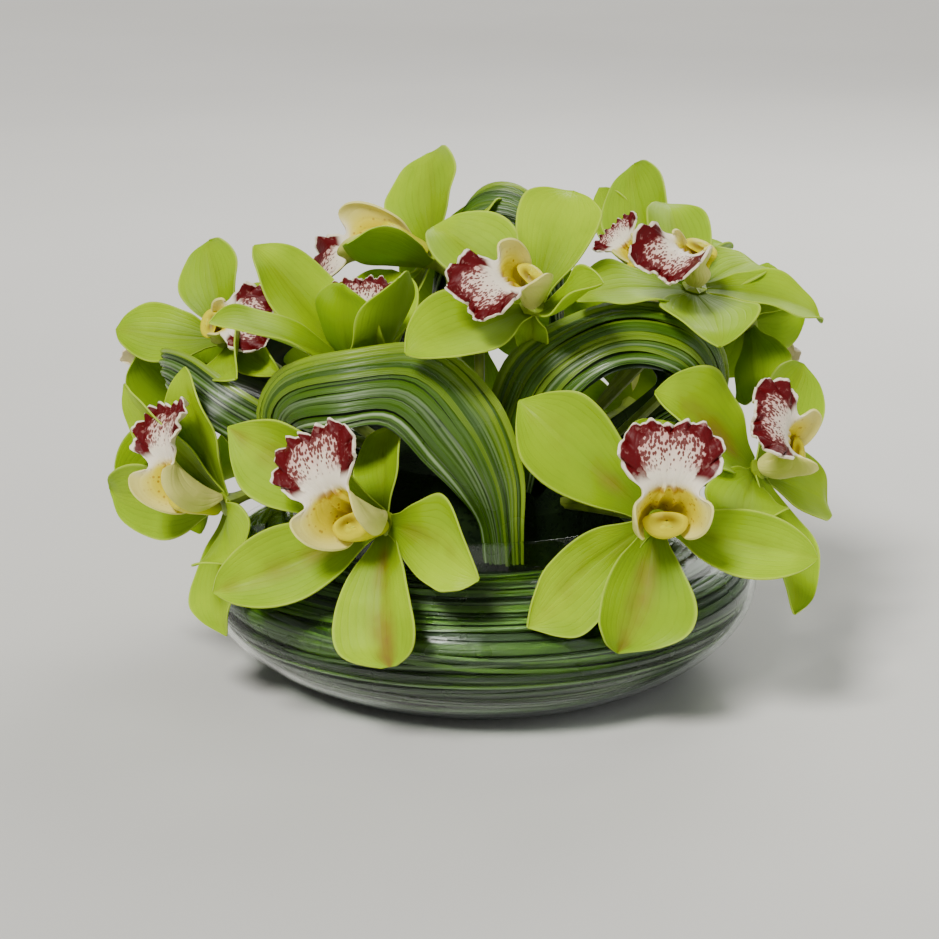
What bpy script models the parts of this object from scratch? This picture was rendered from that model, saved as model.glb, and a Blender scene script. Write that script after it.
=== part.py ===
"""A low glass bowl of cymbidium orchids, with grass coiled in the glass and looped between the flowers.

Metres, +Z up. The origin is the middle of the bowl's flat base, and the front of the arrangement faces -Y.
Each sub-part is one object and one closed solid. A flower is three of them, by colour: its five tepals, which
grow on one ovary and stalk, its lip and its column.
"""

import math

import bmesh
import bpy
from mathutils import Vector

MM = 0.001

# ---- clearances and fineness ----
GAP = 0.4 * MM
TURN_STEPS = 32
STRIPS_ALONG_TEPAL = 5
STRIPS_ACROSS_TEPAL = 3

# ---- bowl ----
BOWL_RADIUS = 113 * MM
BOWL_MIDDLE = 40 * MM          # height of the widest level
BOWL_BELLY = 51 * MM           # half axis of the round below the widest level
BOWL_SHOULDER = 33 * MM        # half axis of the round above it
BASE_RADIUS = 68 * MM
MOUTH_RADIUS = 79 * MM         # outside of the neck
BOWL_HEIGHT = 75 * MM
GLASS = 3.2 * MM
FLOOR = 5 * MM                 # thickness of the bottom

# ---- grass wound inside the glass ----
COIL_RIDGES = 6
COIL_RIDGE = 1.6 * MM
COIL_INNER_RADIUS = 60 * MM
COIL_LOW = 8 * MM
COIL_HIGH = 60 * MM

# ---- foam that holds stalks and loop ends ----
FOAM_RADIUS = 57 * MM
FOAM_SHOULDER = 84 * MM
FOAM_TOP = 98 * MM
SEAT_DEPTH = 9 * MM            # how far a stalk stands in the foam
SEAT_LIFT = 1.5 * MM           # a stalk bends this far above the foam

# ---- one flower ----
HUB_RADIUS = 7.5 * MM
HUB_FRONT = 3 * MM
HUB_BACK = -5 * MM
STALK_RADIUS = 2.4 * MM
TEPAL_THICKNESS = 1.1 * MM
LIP_THICKNESS = 1.1 * MM
COLUMN_RADIUS = 4.2 * MM


# ---------------------------------------------------------------- helpers

def clear_scene():
    for obj in list(bpy.data.objects):
        bpy.data.objects.remove(obj, do_unlink=True)


def collection(name):
    made = bpy.data.collections.new(name)
    bpy.context.scene.collection.children.link(made)
    return made


def material(name, colour, roughness=0.5, transmission=0.0):
    made = bpy.data.materials.new(name)
    made.use_nodes = True
    shader = made.node_tree.nodes["Principled BSDF"]
    shader.inputs["Base Color"].default_value = (*colour, 1.0)
    shader.inputs["Roughness"].default_value = roughness
    shader.inputs["Metallic"].default_value = 0.0
    shader.inputs["Transmission Weight"].default_value = transmission
    return made


def object_from(name, bm, into, finish):
    """Turns a bmesh into an object with one material."""
    mesh = bpy.data.meshes.new(name)
    bm.to_mesh(mesh)
    bm.free()
    mesh.materials.append(finish)
    made = bpy.data.objects.new(name, mesh)
    into.objects.link(made)
    return made


def apply_modifiers(obj):
    graph = bpy.context.evaluated_depsgraph_get()
    mesh = bpy.data.meshes.new_from_object(obj.evaluated_get(graph))
    obj.modifiers.clear()
    obj.data = mesh


def shade(obj, angle=40):
    obj.data.shade_smooth()
    obj.data.set_sharp_from_angle(angle=math.radians(angle))


def turned(name, profile, into, finish):
    """Turns a profile of (radius, height) pairs round Z, from its inner end to its outer end."""
    bm = bmesh.new()
    points = [bm.verts.new((radius, 0, height)) for radius, height in profile]
    for first, second in zip(points, points[1:]):
        bm.edges.new((first, second))
    made = object_from(name, bm, into, finish)
    screw = made.modifiers.new("turn", "SCREW")
    screw.steps = TURN_STEPS
    screw.render_steps = TURN_STEPS
    screw.use_merge_vertices = True
    screw.merge_threshold = 0.01 * MM
    apply_modifiers(made)
    bm = bmesh.new()
    bm.from_mesh(made.data)
    bmesh.ops.remove_doubles(bm, verts=bm.verts, dist=0.01 * MM)
    bmesh.ops.recalc_face_normals(bm, faces=bm.faces)
    bm.to_mesh(made.data)
    bm.free()
    shade(made)
    return made


def mapped_sheet(name, along, across, place, thickness, into, finish):
    """A grid whose points are moved by place(u, v), u from 0 to 1 and v from -1 to 1, then given thickness."""
    bm = bmesh.new()
    bmesh.ops.create_grid(bm, x_segments=along, y_segments=across, size=1.0)
    for vert in bm.verts:
        vert.co = place((vert.co.x + 1) / 2, vert.co.y)
    bmesh.ops.triangulate(bm, faces=bm.faces, quad_method="SHORT_EDGE")
    made = object_from(name, bm, into, finish)
    wall = made.modifiers.new("thickness", "SOLIDIFY")
    wall.thickness = thickness
    wall.offset = 0
    apply_modifiers(made)
    face_outwards(made)
    return made


def tube(name, points, radius, into, finish, sides=1):
    """A round bar along points, as a closed mesh. radius is one value, or one for each point."""
    radii = radius if isinstance(radius, list) else [radius] * len(points)
    curve = bpy.data.curves.new(name, "CURVE")
    curve.dimensions = "3D"
    curve.bevel_depth = 1.0
    curve.bevel_resolution = sides
    curve.use_fill_caps = True
    spline = curve.splines.new("POLY")
    spline.points.add(len(points) - 1)
    for point, co, thick in zip(spline.points, points, radii):
        point.co = (*co, 1.0)
        point.radius = thick
    guide = bpy.data.objects.new(name, curve)
    into.objects.link(guide)
    graph = bpy.context.evaluated_depsgraph_get()
    mesh = bpy.data.meshes.new_from_object(guide.evaluated_get(graph))
    bpy.data.objects.remove(guide, do_unlink=True)
    mesh.materials.clear()
    mesh.materials.append(finish)
    made = bpy.data.objects.new(name, mesh)
    into.objects.link(made)
    bm = bmesh.new()
    bm.from_mesh(mesh)
    bmesh.ops.remove_doubles(bm, verts=bm.verts, dist=0.001 * MM)
    bm.to_mesh(mesh)
    bm.free()
    face_outwards(made)
    return made


def face_outwards(obj):
    bm = bmesh.new()
    bm.from_mesh(obj.data)
    bmesh.ops.recalc_face_normals(bm, faces=bm.faces)
    if bm.calc_volume(signed=True) < 0:
        bmesh.ops.reverse_faces(bm, faces=bm.faces)
    bm.to_mesh(obj.data)
    bm.free()


def joined(base, others, name, operation="UNION"):
    """One Boolean of base with the collection of the other objects, which are then removed."""
    tools = collection("tools_" + name)
    for other in others:
        for holder in list(other.users_collection):
            holder.objects.unlink(other)
        tools.objects.link(other)
    cut = base.modifiers.new(operation.lower(), "BOOLEAN")
    cut.operation = operation
    cut.operand_type = "COLLECTION"
    cut.collection = tools
    cut.solver = "MANIFOLD"
    apply_modifiers(base)
    for other in others:
        bpy.data.objects.remove(other, do_unlink=True)
    bpy.data.collections.remove(tools)
    base.name = name
    shade(base)
    return base


# ---------------------------------------------------------------- bowl, grass coil and foam

def round_profile(low, high, count, inset):
    """(radius, height) pairs on the bowl's round between two heights, evenly spaced by angle."""
    def angle_of(height):
        half = BOWL_SHOULDER if height > BOWL_MIDDLE else BOWL_BELLY
        return math.asin((height - BOWL_MIDDLE) / (half - inset))
    start, end = angle_of(low), angle_of(high)
    pairs = []
    for step in range(count + 1):
        angle = start + (end - start) * step / count
        half = (BOWL_SHOULDER if angle > 0 else BOWL_BELLY) - inset
        pairs.append(((BOWL_RADIUS - inset) * math.cos(angle), BOWL_MIDDLE + half * math.sin(angle)))
    return pairs


def make_bowl(into, finish):
    neck_low = BOWL_HEIGHT - 10 * MM
    shoulder_outer = BOWL_MIDDLE + BOWL_SHOULDER * math.sqrt(1 - (MOUTH_RADIUS / BOWL_RADIUS) ** 2)
    inner_mouth = MOUTH_RADIUS - GLASS
    inner_half = BOWL_SHOULDER - GLASS
    shoulder_inner = BOWL_MIDDLE + inner_half * math.sqrt(1 - (inner_mouth / (BOWL_RADIUS - GLASS)) ** 2)
    inner = round_profile(FLOOR, shoulder_inner, 7, GLASS)
    outer = round_profile(2 * MM, shoulder_outer, 8, 0.0)
    rim = [
        (inner_mouth, neck_low),
        (inner_mouth, BOWL_HEIGHT - GLASS / 2),
        (inner_mouth + GLASS / 2, BOWL_HEIGHT),
        (MOUTH_RADIUS + GLASS / 3, BOWL_HEIGHT - GLASS / 2),
        (MOUTH_RADIUS, neck_low),
    ]
    foot = [(BASE_RADIUS, 0.0), (0.0, 0.0)]
    return turned("glass_bowl", [(0.0, FLOOR)] + inner + rim + outer[::-1] + foot, into, finish)


def make_coil(into, finish):
    inset = GLASS + 2 * GAP
    outer = []
    pairs = round_profile(COIL_LOW, COIL_HIGH, 2 * COIL_RIDGES, inset)
    for index, (radius, height) in enumerate(pairs):
        pull = COIL_RIDGE if index % 2 == 0 else 0.0
        outer.append((radius - pull, height))
    inner = [(COIL_INNER_RADIUS, COIL_LOW), (COIL_INNER_RADIUS, COIL_HIGH)]
    ring = inner + outer[::-1]
    return turned("grass_coil", ring + [ring[0]], into, finish)


FOAM_PROFILE = [
    # radius, height, from the axis outwards
    (0.0, FOAM_TOP),
    (FOAM_RADIUS * 0.45, FOAM_TOP - 2 * MM),
    (FOAM_RADIUS * 0.8, FOAM_SHOULDER + 7 * MM),
    (FOAM_RADIUS, FOAM_SHOULDER - 6 * MM),
]


def foam_height(radius):
    """Height of the foam's top at a distance from the axis."""
    for (near, high), (far, low) in zip(FOAM_PROFILE, FOAM_PROFILE[1:]):
        if radius <= far:
            return high + (low - high) * (radius - near) / (far - near)
    return FOAM_PROFILE[-1][1]


def make_foam(into, finish):
    side = [(FOAM_RADIUS, FLOOR + GAP), (0.0, FLOOR + GAP)]
    return turned("foam_block", FOAM_PROFILE + side, into, finish)


def make_seats(core, into, finish):
    """Cuts the holes in which the stalks and the ends of the loops stand."""
    holes = [make_stalk(flower, into, finish, GAP) for flower in FLOWERS]
    for loop in LOOPS:
        frames = loop.frames(LOOP_STEPS)
        for end, inner in ((frames[0], frames[1]), (frames[-1], frames[-2])):
            holes.append(loop_hole(loop, end, inner, into, finish))
    return joined(core, holes, "foam_core", "DIFFERENCE")


def loop_hole(loop, end, inner, into, finish):
    """A flat slot round the end of a loop, a little larger than it."""
    along = (end[0] - inner[0]).normalized()
    half = end[1] * (1 + 2.5 * MM / end[1].length)
    low = end[0] + along * GAP
    high = inner[0] + (inner[0] - end[0]) * 0.5

    def place(u, v):
        return low.lerp(high, u) + half * v + end[2] * (end[1].length * 0.12 + BLADE_RIDGE / 2)

    return mapped_sheet(loop.name + "slot", 1, 1, place, LOOP_SLOT, into, finish)


# ---------------------------------------------------------------- grass loops

def smooth_path(points, steps):
    """Points evenly spread in parameter on a Catmull-Rom curve through the given ones."""
    padded = [points[0] * 2 - points[1]] + points + [points[-1] * 2 - points[-2]]
    spans = len(points) - 1
    path = []
    for step in range(steps + 1):
        place = min(step * spans / steps, spans - 1e-6)
        index = int(place)
        t = place - index
        a, b, c, d = padded[index:index + 4]
        path.append(0.5 * (2 * b + (c - a) * t + (2 * a - 5 * b + 4 * c - d) * t ** 2
                           + (3 * b - a - 3 * c + d) * t ** 3))
    return path


def between(stations, share, column):
    """Value of one column of the stations at a share of the length."""
    for low, high in zip(stations, stations[1:]):
        if share <= high[0] + 1e-9:
            t = (share - low[0]) / (high[0] - low[0])
            return low[column] + (high[column] - low[column]) * t
    return stations[-1][column]


def frame_at(frames, share):
    """The point and normal at a share of the length, between the two nearest frames."""
    place = min(share * (len(frames) - 1), len(frames) - 1.000001)
    index = int(place)
    first, second = frames[index], frames[index + 1]
    return tuple(a.lerp(b, place - index) for a, b in zip(first, second))


class Loop:
    """A bunch of blades laid side by side and bent over.

    Each station is (middle of the bunch, from its middle to its upper edge), both in mm.
    """

    def __init__(self, name, stations, blades):
        self.name = name
        self.blades = blades
        self.middles = [Vector(middle) * MM for middle, _ in stations]
        self.halves = [Vector(half) * MM for _, half in stations]

    def frames(self, steps):
        """(middle, half width, outward normal) at each step."""
        middles = smooth_path(self.middles, steps)
        halves = smooth_path(self.halves, steps)
        frames = []
        for index, (middle, half) in enumerate(zip(middles, halves)):
            ahead = middles[min(index + 1, steps)] - middles[max(index - 1, 0)]
            frames.append((middle, half, half.cross(ahead).normalized()))
        return frames


LOOP_STEPS = 12
LOOP_THICKNESS = 2.2 * MM
BLADE_RIDGE = 1.2 * MM
LOOP_SLOT = 9 * MM             # width of the slot in the foam for the end of a loop


def make_loop(loop, into, finish):
    """One corrugated band: each ridge is a few of the real blades."""
    frames = loop.frames(LOOP_STEPS)
    across = 2 * loop.blades

    def place(u, v):
        middle, half, normal = frames[round(u * LOOP_STEPS)]
        ridge = round((v + 1) * across / 2) % 2
        crown = half.length * 0.25 * (1 - v * v)
        return middle + half * v + normal * (crown + BLADE_RIDGE * ridge)

    made = mapped_sheet(loop.name, LOOP_STEPS, across, place, LOOP_THICKNESS, into, finish)
    shade(made, 30)
    return made


LOOPS = [
    Loop("grass_loop_front", [
        ((8, -44, 80), (7, -3, 0)),
        ((8, -58, 92), (9, -4, 3)),
        ((-5, -63, 115), (13, 4, 10)),
        ((-27, -62, 132), (10, 12, 13)),
        ((-52, -64, 131), (3, 12, 13)),
        ((-71, -55, 125), (-6, 12, 9)),
        ((-77, -47, 113), (-9, 8, -1)),
        ((-64, -42, 102), (-4, 8, -8)),
        ((-40, -36, 84), (-1, 6, -6)),
    ], 4),
    Loop("grass_loop_right", [
        ((13, -40, 84), (-8, 4, 1)),
        ((19, -46, 108), (-8, 5, 3)),
        ((30, -43, 131), (-8, 9, 8)),
        ((45, -39, 144), (-4, 13, 10)),
        ((64, -35, 146), (2, 14, 10)),
        ((82, -31, 139), (7, 11, 8)),
        ((89, -26, 122), (8, 8, 0)),
        ((74, -20, 106), (5, 8, -6)),
        ((44, -10, 84), (3, 6, -6)),
    ], 4),
    Loop("grass_loop_left", [
        ((-48, -4, 84), (2, -5, 3)),
        ((-70, -20, 101), (4, -2, 6)),
        ((-88, -33, 107), (5, 2, 7)),
        ((-106, -31, 111), (5, 4, 7)),
        ((-121, -18, 117), (3, 5, 7)),
        ((-128, 0, 119), (-2, 6, 6)),
        ((-118, 18, 114), (-5, 5, 4)),
        ((-90, 26, 107), (-4, 6, 5)),
        ((-46, 24, 84), (-2, 6, 3)),
    ], 3),
    Loop("grass_loop_top", [
        ((-10, 34, 86), (4, 7, 0)),
        ((-14, 44, 120), (3, 12, 0)),
        ((-9, 55, 155), (3, 13, 3)),
        ((2, 51, 178), (3, 13, 5)),
        ((15, 43, 180), (3, 13, 4)),
        ((25, 38, 164), (0, 13, 2)),
        ((26, 36, 135), (0, 12, 0)),
        ((24, 32, 105), (0, 10, 0)),
        ((22, 30, 86), (0, 8, 0)),
    ], 3),
    Loop("grass_loop_back_right", [
        ((18, 46, 84), (-7, 3, 0)),
        ((28, 66, 104), (-8, 4, 3)),
        ((42, 72, 118), (-6, -8, 8)),
        ((60, 66, 122), (2, -11, 8)),
        ((76, 56, 117), (8, -8, 5)),
        ((82, 44, 106), (8, -6, -1)),
        ((72, 32, 98), (5, -7, -4)),
        ((46, 22, 84), (3, -6, -3)),
    ], 3),
    Loop("grass_loop_back_left", [
        ((-18, 46, 84), (7, 3, 0)),
        ((-26, 64, 106), (8, 4, 3)),
        ((-38, 72, 124), (6, -8, 8)),
        ((-60, 68, 130), (-2, -11, 8)),
        ((-84, 56, 124), (-8, -8, 5)),
        ((-90, 48, 112), (-8, -6, -1)),
        ((-72, 46, 104), (-5, -7, -4)),
        ((-30, 36, 86), (-3, -6, -3)),
    ], 3),
]


# ---------------------------------------------------------------- flowers

class Tepal:
    """One sepal or petal.

    turn: clock angle on the flower's face, 0 opposite the lip. lift: how far it leans forward at its root.
    curl: how much that lean changes by its tip. cup: how far its edges are drawn forward. All are in degrees,
    and sizes in mm.
    """

    def __init__(self, turn, length, width, lift, curl, cup=25):
        self.turn = turn
        self.length = length
        self.width = width
        self.lift = lift
        self.curl = curl
        self.cup = cup

    def changed(self, **values):
        made = Tepal(**self.__dict__)
        made.__dict__.update(values)
        return made


TEPALS = {
    "dorsal": Tepal(0, 62, 30, 12, -25),
    "petal_a": Tepal(72, 60, 27, 15, -25),
    "petal_b": Tepal(-72, 60, 27, 15, -25),
    "sepal_a": Tepal(142, 60, 30, 8, -25),
    "sepal_b": Tepal(-142, 60, 30, 8, -25),
}
ROOT = 3 * MM                  # the tepals start this far from the flower's axis

OUTLINE = [
    # share of length, half width as a share of the greatest
    (0.00, 0.22),
    (0.12, 0.36),
    (0.30, 0.76),
    (0.48, 0.98),
    (0.62, 1.00),
    (0.78, 0.84),
    (0.90, 0.52),
    (1.00, 0.06),
]


def outline(u):
    """Half width of a tepal as a share of its greatest, from root to tip."""
    return between(OUTLINE, u, 1)


def tepal_frames(tepal, steps):
    """(point, across, normal) along the middle of a tepal, in the flower's own frame."""
    turn = math.radians(tepal.turn)
    outward = Vector((math.sin(turn), math.cos(turn), 0))
    sideways = Vector((math.cos(turn), -math.sin(turn), 0))
    forward = Vector((0, 0, 1))
    fine = steps * 4
    point = outward * ROOT + forward * (0.6 * MM if abs(abs(tepal.turn) - 72) < 30 else -1.0 * MM)
    frames = []
    for index in range(fine + 1):
        lift = math.radians(tepal.lift + tepal.curl * index / fine)
        along = outward * math.cos(lift) + forward * math.sin(lift)
        normal = forward * math.cos(lift) - outward * math.sin(lift)
        if index % 4 == 0:
            frames.append((point.copy(), sideways, normal))
        point += along * (tepal.length * MM / fine)
    return frames


def arc_across(half_width, cup, v):
    """(sideways, forward) place on a strip that is bent to an arc, at v from -1 to 1."""
    if abs(cup) < 1e-3:
        return half_width * v, 0.0
    return half_width * math.sin(cup * v) / cup, half_width * (1 - math.cos(cup * v)) / cup


class Flower:
    """hub: the middle of the flower in mm. face: where it looks, as (degrees to the right, degrees up).
    lip: clock angle of the lip, 0 at the top, as seen from in front. seat: where its stalk enters the foam.
    changes: what differs from TEPALS."""

    def __init__(self, name, hub, face, lip, seat, changes=None, strips=STRIPS_ALONG_TEPAL):
        self.name = name
        self.strips = strips
        self.hub = Vector(hub) * MM
        azimuth, height = (math.radians(value) for value in face)
        self.front = Vector((math.sin(azimuth) * math.cos(height), -math.cos(azimuth) * math.cos(height),
                             math.sin(height)))
        right = Vector((math.cos(azimuth), math.sin(azimuth), 0))
        top = self.front.cross(right)
        roll = math.radians(lip + 180)
        self.up = top * math.cos(roll) + right * math.sin(roll)
        self.side = right * math.cos(roll) - top * math.sin(roll)
        across, back = (value * MM for value in seat)
        self.seat = Vector((across, back, foam_height(math.hypot(across, back)) + SEAT_LIFT))
        self.tepals = {}
        for key, tepal in TEPALS.items():
            values = dict((changes or {}).get(key, {}))
            if "at" in values:
                values["turn"] = values.pop("at") - (lip + 180)
            self.tepals[key] = tepal.changed(**values)

    def world(self, local):
        return self.hub + self.side * local.x + self.up * local.y + self.front * local.z


def make_tepals(flower, into, finish):
    pieces = []
    for key, tepal in flower.tepals.items():
        frames = tepal_frames(tepal, flower.strips)
        cup = math.radians(tepal.cup)

        def place(u, v):
            point, across, normal = frames[round(u * flower.strips)]
            sideways, forward = arc_across(tepal.width * MM / 2 * outline(u), cup, v)
            return flower.world(point + across * sideways + normal * forward)

        pieces.append(mapped_sheet(flower.name + key, flower.strips, STRIPS_ACROSS_TEPAL, place,
                                   TEPAL_THICKNESS, into, finish))
    hub = tube(flower.name + "_tepals", [flower.world(Vector((0, 0, HUB_BACK))),
                                         flower.world(Vector((0, 0, HUB_FRONT)))],
               [HUB_RADIUS * 0.7, HUB_RADIUS], into, finish, 2)
    pieces.append(make_stalk(flower, into, finish))
    return joined(hub, pieces, flower.name + "_tepals")


def stalk_path(flower):
    """From inside the ovary, back from the face and round into the foam."""
    start = flower.world(Vector((0, 0, HUB_BACK / 2)))
    back = flower.world(Vector((0, 0, -14 * MM)))
    inward = foam_direction(flower)
    return [start, back, flower.seat, flower.seat + inward * SEAT_DEPTH]


def foam_direction(flower):
    """Unit vector from a flower's seat on the foam towards the foam's inside."""
    return (Vector((0, 0, 62 * MM)) - flower.seat).normalized()


def make_stalk(flower, into, finish, spare=0.0):
    """The stalk, or with a spare amount the plain hole it stands in."""
    path = stalk_path(flower)
    if spare:
        inward = foam_direction(flower)
        path = [path[-2] - inward * 8 * MM, path[-1] + inward * spare]
    return tube(flower.name + "stalk", path, STALK_RADIUS + spare, into, finish, 1)


LIP_ALONG = 7
LIP_ACROSS = 4
LIP_LENGTH = 54 * MM
LIP_START = Vector((0, -4.8 * MM, HUB_FRONT + GAP + LIP_THICKNESS / 2))
LIP_STATIONS = [
    # share of length, half width mm, cup degrees, angle from straight ahead towards the lip side
    (0.00, 5.0, 60, 10),
    (0.15, 13.0, 95, 18),
    (0.30, 20.0, 105, 25),
    (0.42, 18.0, 90, 30),
    (0.52, 12.0, 55, 45),
    (0.64, 15.0, 10, 75),
    (0.78, 19.5, -15, 94),
    (0.90, 18.5, -20, 114),
    (1.00, 15.0, -20, 132),
]
LIP_NOTCH = 0.05               # share of the length taken off the middle of the front edge
LIP_CORNER = 0.05              # and off its corners


def lip_frames(steps):
    """(point, normal) along the middle of the lip, in the flower's own frame."""
    fine = steps * 4
    point = LIP_START.copy()
    frames = []
    for index in range(fine + 1):
        angle = math.radians(between(LIP_STATIONS, index / fine, 3))
        along = Vector((0, -math.sin(angle), math.cos(angle)))
        normal = Vector((0, math.cos(angle), math.sin(angle)))
        if index % 4 == 0:
            frames.append((point.copy(), normal))
        point += along * (LIP_LENGTH / fine)
    return frames


def make_lip(flower, into, finish):
    frames = lip_frames(4 * LIP_ALONG)

    def place(u, v):
        trim = LIP_NOTCH * (1 - abs(v)) ** 2 + LIP_CORNER * v ** 4
        u *= 1 - trim * u ** 2
        point, normal = frame_at(frames, u)
        half = between(LIP_STATIONS, u, 1) * MM
        cup = math.radians(between(LIP_STATIONS, u, 2))
        sideways, forward = arc_across(half, cup, v)
        return flower.world(point + Vector((sideways, 0, 0)) + normal * forward)

    made = mapped_sheet(flower.name + "_lip", LIP_ALONG, LIP_ACROSS, place, LIP_THICKNESS, into, finish)
    shade(made)
    return made


def make_column(flower, into, finish):
    """The club that arches over the lip, blunt at its cap."""
    reach = [(1.4, 0.0, 0.75), (1.6, 9.0, 0.8), (0.6, 18.0, 1.0), (-2.0, 25.0, 1.15), (-4.0, 29.0, 0.6)]
    start = HUB_FRONT + GAP
    points = [flower.world(Vector((0, up * MM, start + ahead * MM))) for up, ahead, _ in reach]
    radii = [COLUMN_RADIUS * share for _, _, share in reach]
    made = tube(flower.name + "_column", points, radii, into, finish, 1)
    shade(made)
    return made


FLOWERS = [
    Flower("bloom_front_right", (66, -84, 86), (6, 12), 2, (34, -44), {
        "dorsal": dict(at=190, length=50, width=42, lift=30, curl=-45),
        "petal_a": dict(at=236, length=60, width=30, lift=18, curl=-18),
        "petal_b": dict(at=104, length=60, width=26, lift=24, curl=-16),
        "sepal_a": dict(at=313, length=68, width=40, lift=0, curl=-16),
        "sepal_b": dict(at=12, length=46, width=30, lift=-35, curl=-10),
    }),
    Flower("bloom_front_left", (-36, -84, 85), (-32, 10), -28, (-20, -50), {
        "dorsal": dict(at=162, length=54, width=38, lift=34, curl=-32),
        "petal_a": dict(at=238, length=70, width=30, lift=38, curl=-10),
        "petal_b": dict(at=93, length=50, width=36, lift=22, curl=-20),
        "sepal_a": dict(at=297, length=70, width=34, lift=30, curl=-10),
        "sepal_b": dict(at=325, length=50, width=26, lift=-30, curl=-20),
    }),
    Flower("bloom_left", (-100, -42, 80), (-50, -10), 5, (-50, -17), {
        "dorsal": dict(at=130, length=54, width=30, lift=42, curl=-8),
        "petal_a": dict(at=269, length=56, width=34, lift=26, curl=-12),
        "petal_b": dict(at=99, length=46, width=28, lift=42, curl=-12),
        "sepal_a": dict(at=318, length=60, width=28, lift=18, curl=-8),
        "sepal_b": dict(at=348, length=40, width=28, lift=22, curl=-8),
    }),
    Flower("bloom_right", (109, -38, 92), (52, 28), -50, (50, -20), {
        "dorsal": dict(at=205, length=60, width=30, lift=18, curl=-14),
        "petal_a": dict(at=250, length=46, width=30, lift=24, curl=-14),
        "petal_b": dict(at=116, length=50, width=30, lift=0, curl=-12),
        "sepal_a": dict(at=312, length=62, width=40, lift=8, curl=-14),
        "sepal_b": dict(at=50, length=50, width=32, lift=18, curl=-4),
    }),
    Flower("bloom_top_front", (20, -42, 159), (0, 52), -100, (12, -24), {
        "dorsal": dict(at=118, length=40, width=26, lift=44, curl=18, cup=50),
        "petal_a": dict(at=190, length=24, width=16, lift=-60, curl=0),
        "petal_b": dict(at=24, length=58, width=40, lift=12, curl=-16),
        "sepal_a": dict(at=237, length=56, width=34, lift=20, curl=-12),
        "sepal_b": dict(at=324, length=62, width=34, lift=8, curl=-16),
    }),
    Flower("bloom_upper_left", (-103, 15, 133), (-40, 30), 88, (-38, -8), {
        "dorsal": dict(at=258, length=46, width=26, lift=30, curl=-8),
        "petal_a": dict(at=325, length=44, width=30, lift=8, curl=-8),
        "petal_b": dict(at=125, length=50, width=24, lift=45, curl=-18),
        "sepal_a": dict(at=10, length=34, width=22, lift=-30, curl=-10),
        "sepal_b": dict(at=106, length=38, width=20, lift=16, curl=-6, cup=55),
    }),
    Flower("bloom_upper_middle", (-45, -16, 128), (-5, 62), -8, (-20, -8), {
        "dorsal": dict(at=122, length=58, width=42, lift=58, curl=36),
        "petal_a": dict(at=245, length=76, width=26, lift=49, curl=-8),
        "petal_b": dict(at=210, length=53, width=36, lift=62, curl=46),
        "sepal_a": dict(at=304, length=64, width=32, lift=38, curl=-2),
        "sepal_b": dict(at=35, length=46, width=28, lift=20, curl=-10),
    }, strips=4),
    Flower("bloom_top_left", (-20, 32, 162), (-70, 40), 200, (-10, 12), {
        "dorsal": dict(at=310, length=56, width=40, lift=16, curl=-4),
        "petal_a": dict(at=350, length=38, width=22, lift=-10, curl=-10),
        "petal_b": dict(at=264, length=42, width=20, lift=-10, curl=-20),
        "sepal_a": dict(at=90, length=36, width=24, lift=40, curl=6),
        "sepal_b": dict(at=180, length=38, width=22, lift=-14, curl=-4),
    }, strips=4),
    Flower("bloom_upper_right", (85, -4, 158), (20, 66), -105, (36, 0), {
        "dorsal": dict(at=61, length=42, width=26, lift=-2, curl=-10),
        "petal_a": dict(at=98, length=58, width=26, lift=6, curl=-40),
        "petal_b": dict(at=8, length=50, width=28, lift=14, curl=-14),
        "sepal_a": dict(at=193, length=50, width=40, lift=22, curl=-14),
        "sepal_b": dict(at=257, length=56, width=30, lift=20, curl=-18),
    }),
    Flower("bloom_top_right", (73, 42, 151), (-60, 45), -90, (40, 32), {
        "dorsal": dict(at=350, length=40, width=24, lift=-25, curl=-12),
        "petal_a": dict(at=110, length=30, width=22, lift=-40, curl=-12),
        "petal_b": dict(at=311, length=62, width=34, lift=22, curl=-10),
        "sepal_a": dict(at=150, length=44, width=26, lift=30, curl=-10),
        "sepal_b": dict(at=294, length=62, width=20, lift=10, curl=14),
    }, strips=4),
    Flower("bloom_right_back", (110, 38, 134), (150, 0), 180, (50, 10), {
        "dorsal": dict(length=36, lift=58, curl=-10),
        "petal_a": dict(length=46, lift=34),
        "petal_b": dict(at=218, length=40, width=30, lift=-40, curl=-10),
        "sepal_a": dict(length=34, lift=34),
        "sepal_b": dict(at=285, length=34, lift=44),
    }, strips=4),
    Flower("bloom_left_back", (-114, 38, 94), (-145, -5), 0, (-46, 10), {
        "dorsal": dict(length=52, lift=24, curl=-10),
        "petal_b": dict(at=118, length=50, lift=6),
        "petal_a": dict(length=56, lift=20),
        "sepal_a": dict(at=335, length=38, lift=20),
        "sepal_b": dict(at=45, length=42, lift=14),
    }, strips=4),
    Flower("bloom_back_left", (-66, 88, 86), (-150, 8), 10, (-34, 42), {
        "petal_a": dict(length=50),
        "sepal_b": dict(length=50),
    }, strips=4),
    Flower("bloom_back_middle", (0, 92, 116), (180, 20), -5, (0, 50), {
        "petal_a": dict(length=48, lift=25),
        "petal_b": dict(length=48, lift=25),
        "sepal_a": dict(length=52),
        "sepal_b": dict(length=52),
    }, strips=4),
    Flower("bloom_back_right", (66, 88, 86), (150, 8), -10, (34, 42), {
        "petal_b": dict(length=50),
        "sepal_a": dict(length=48),
    }, strips=4),
]


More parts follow.
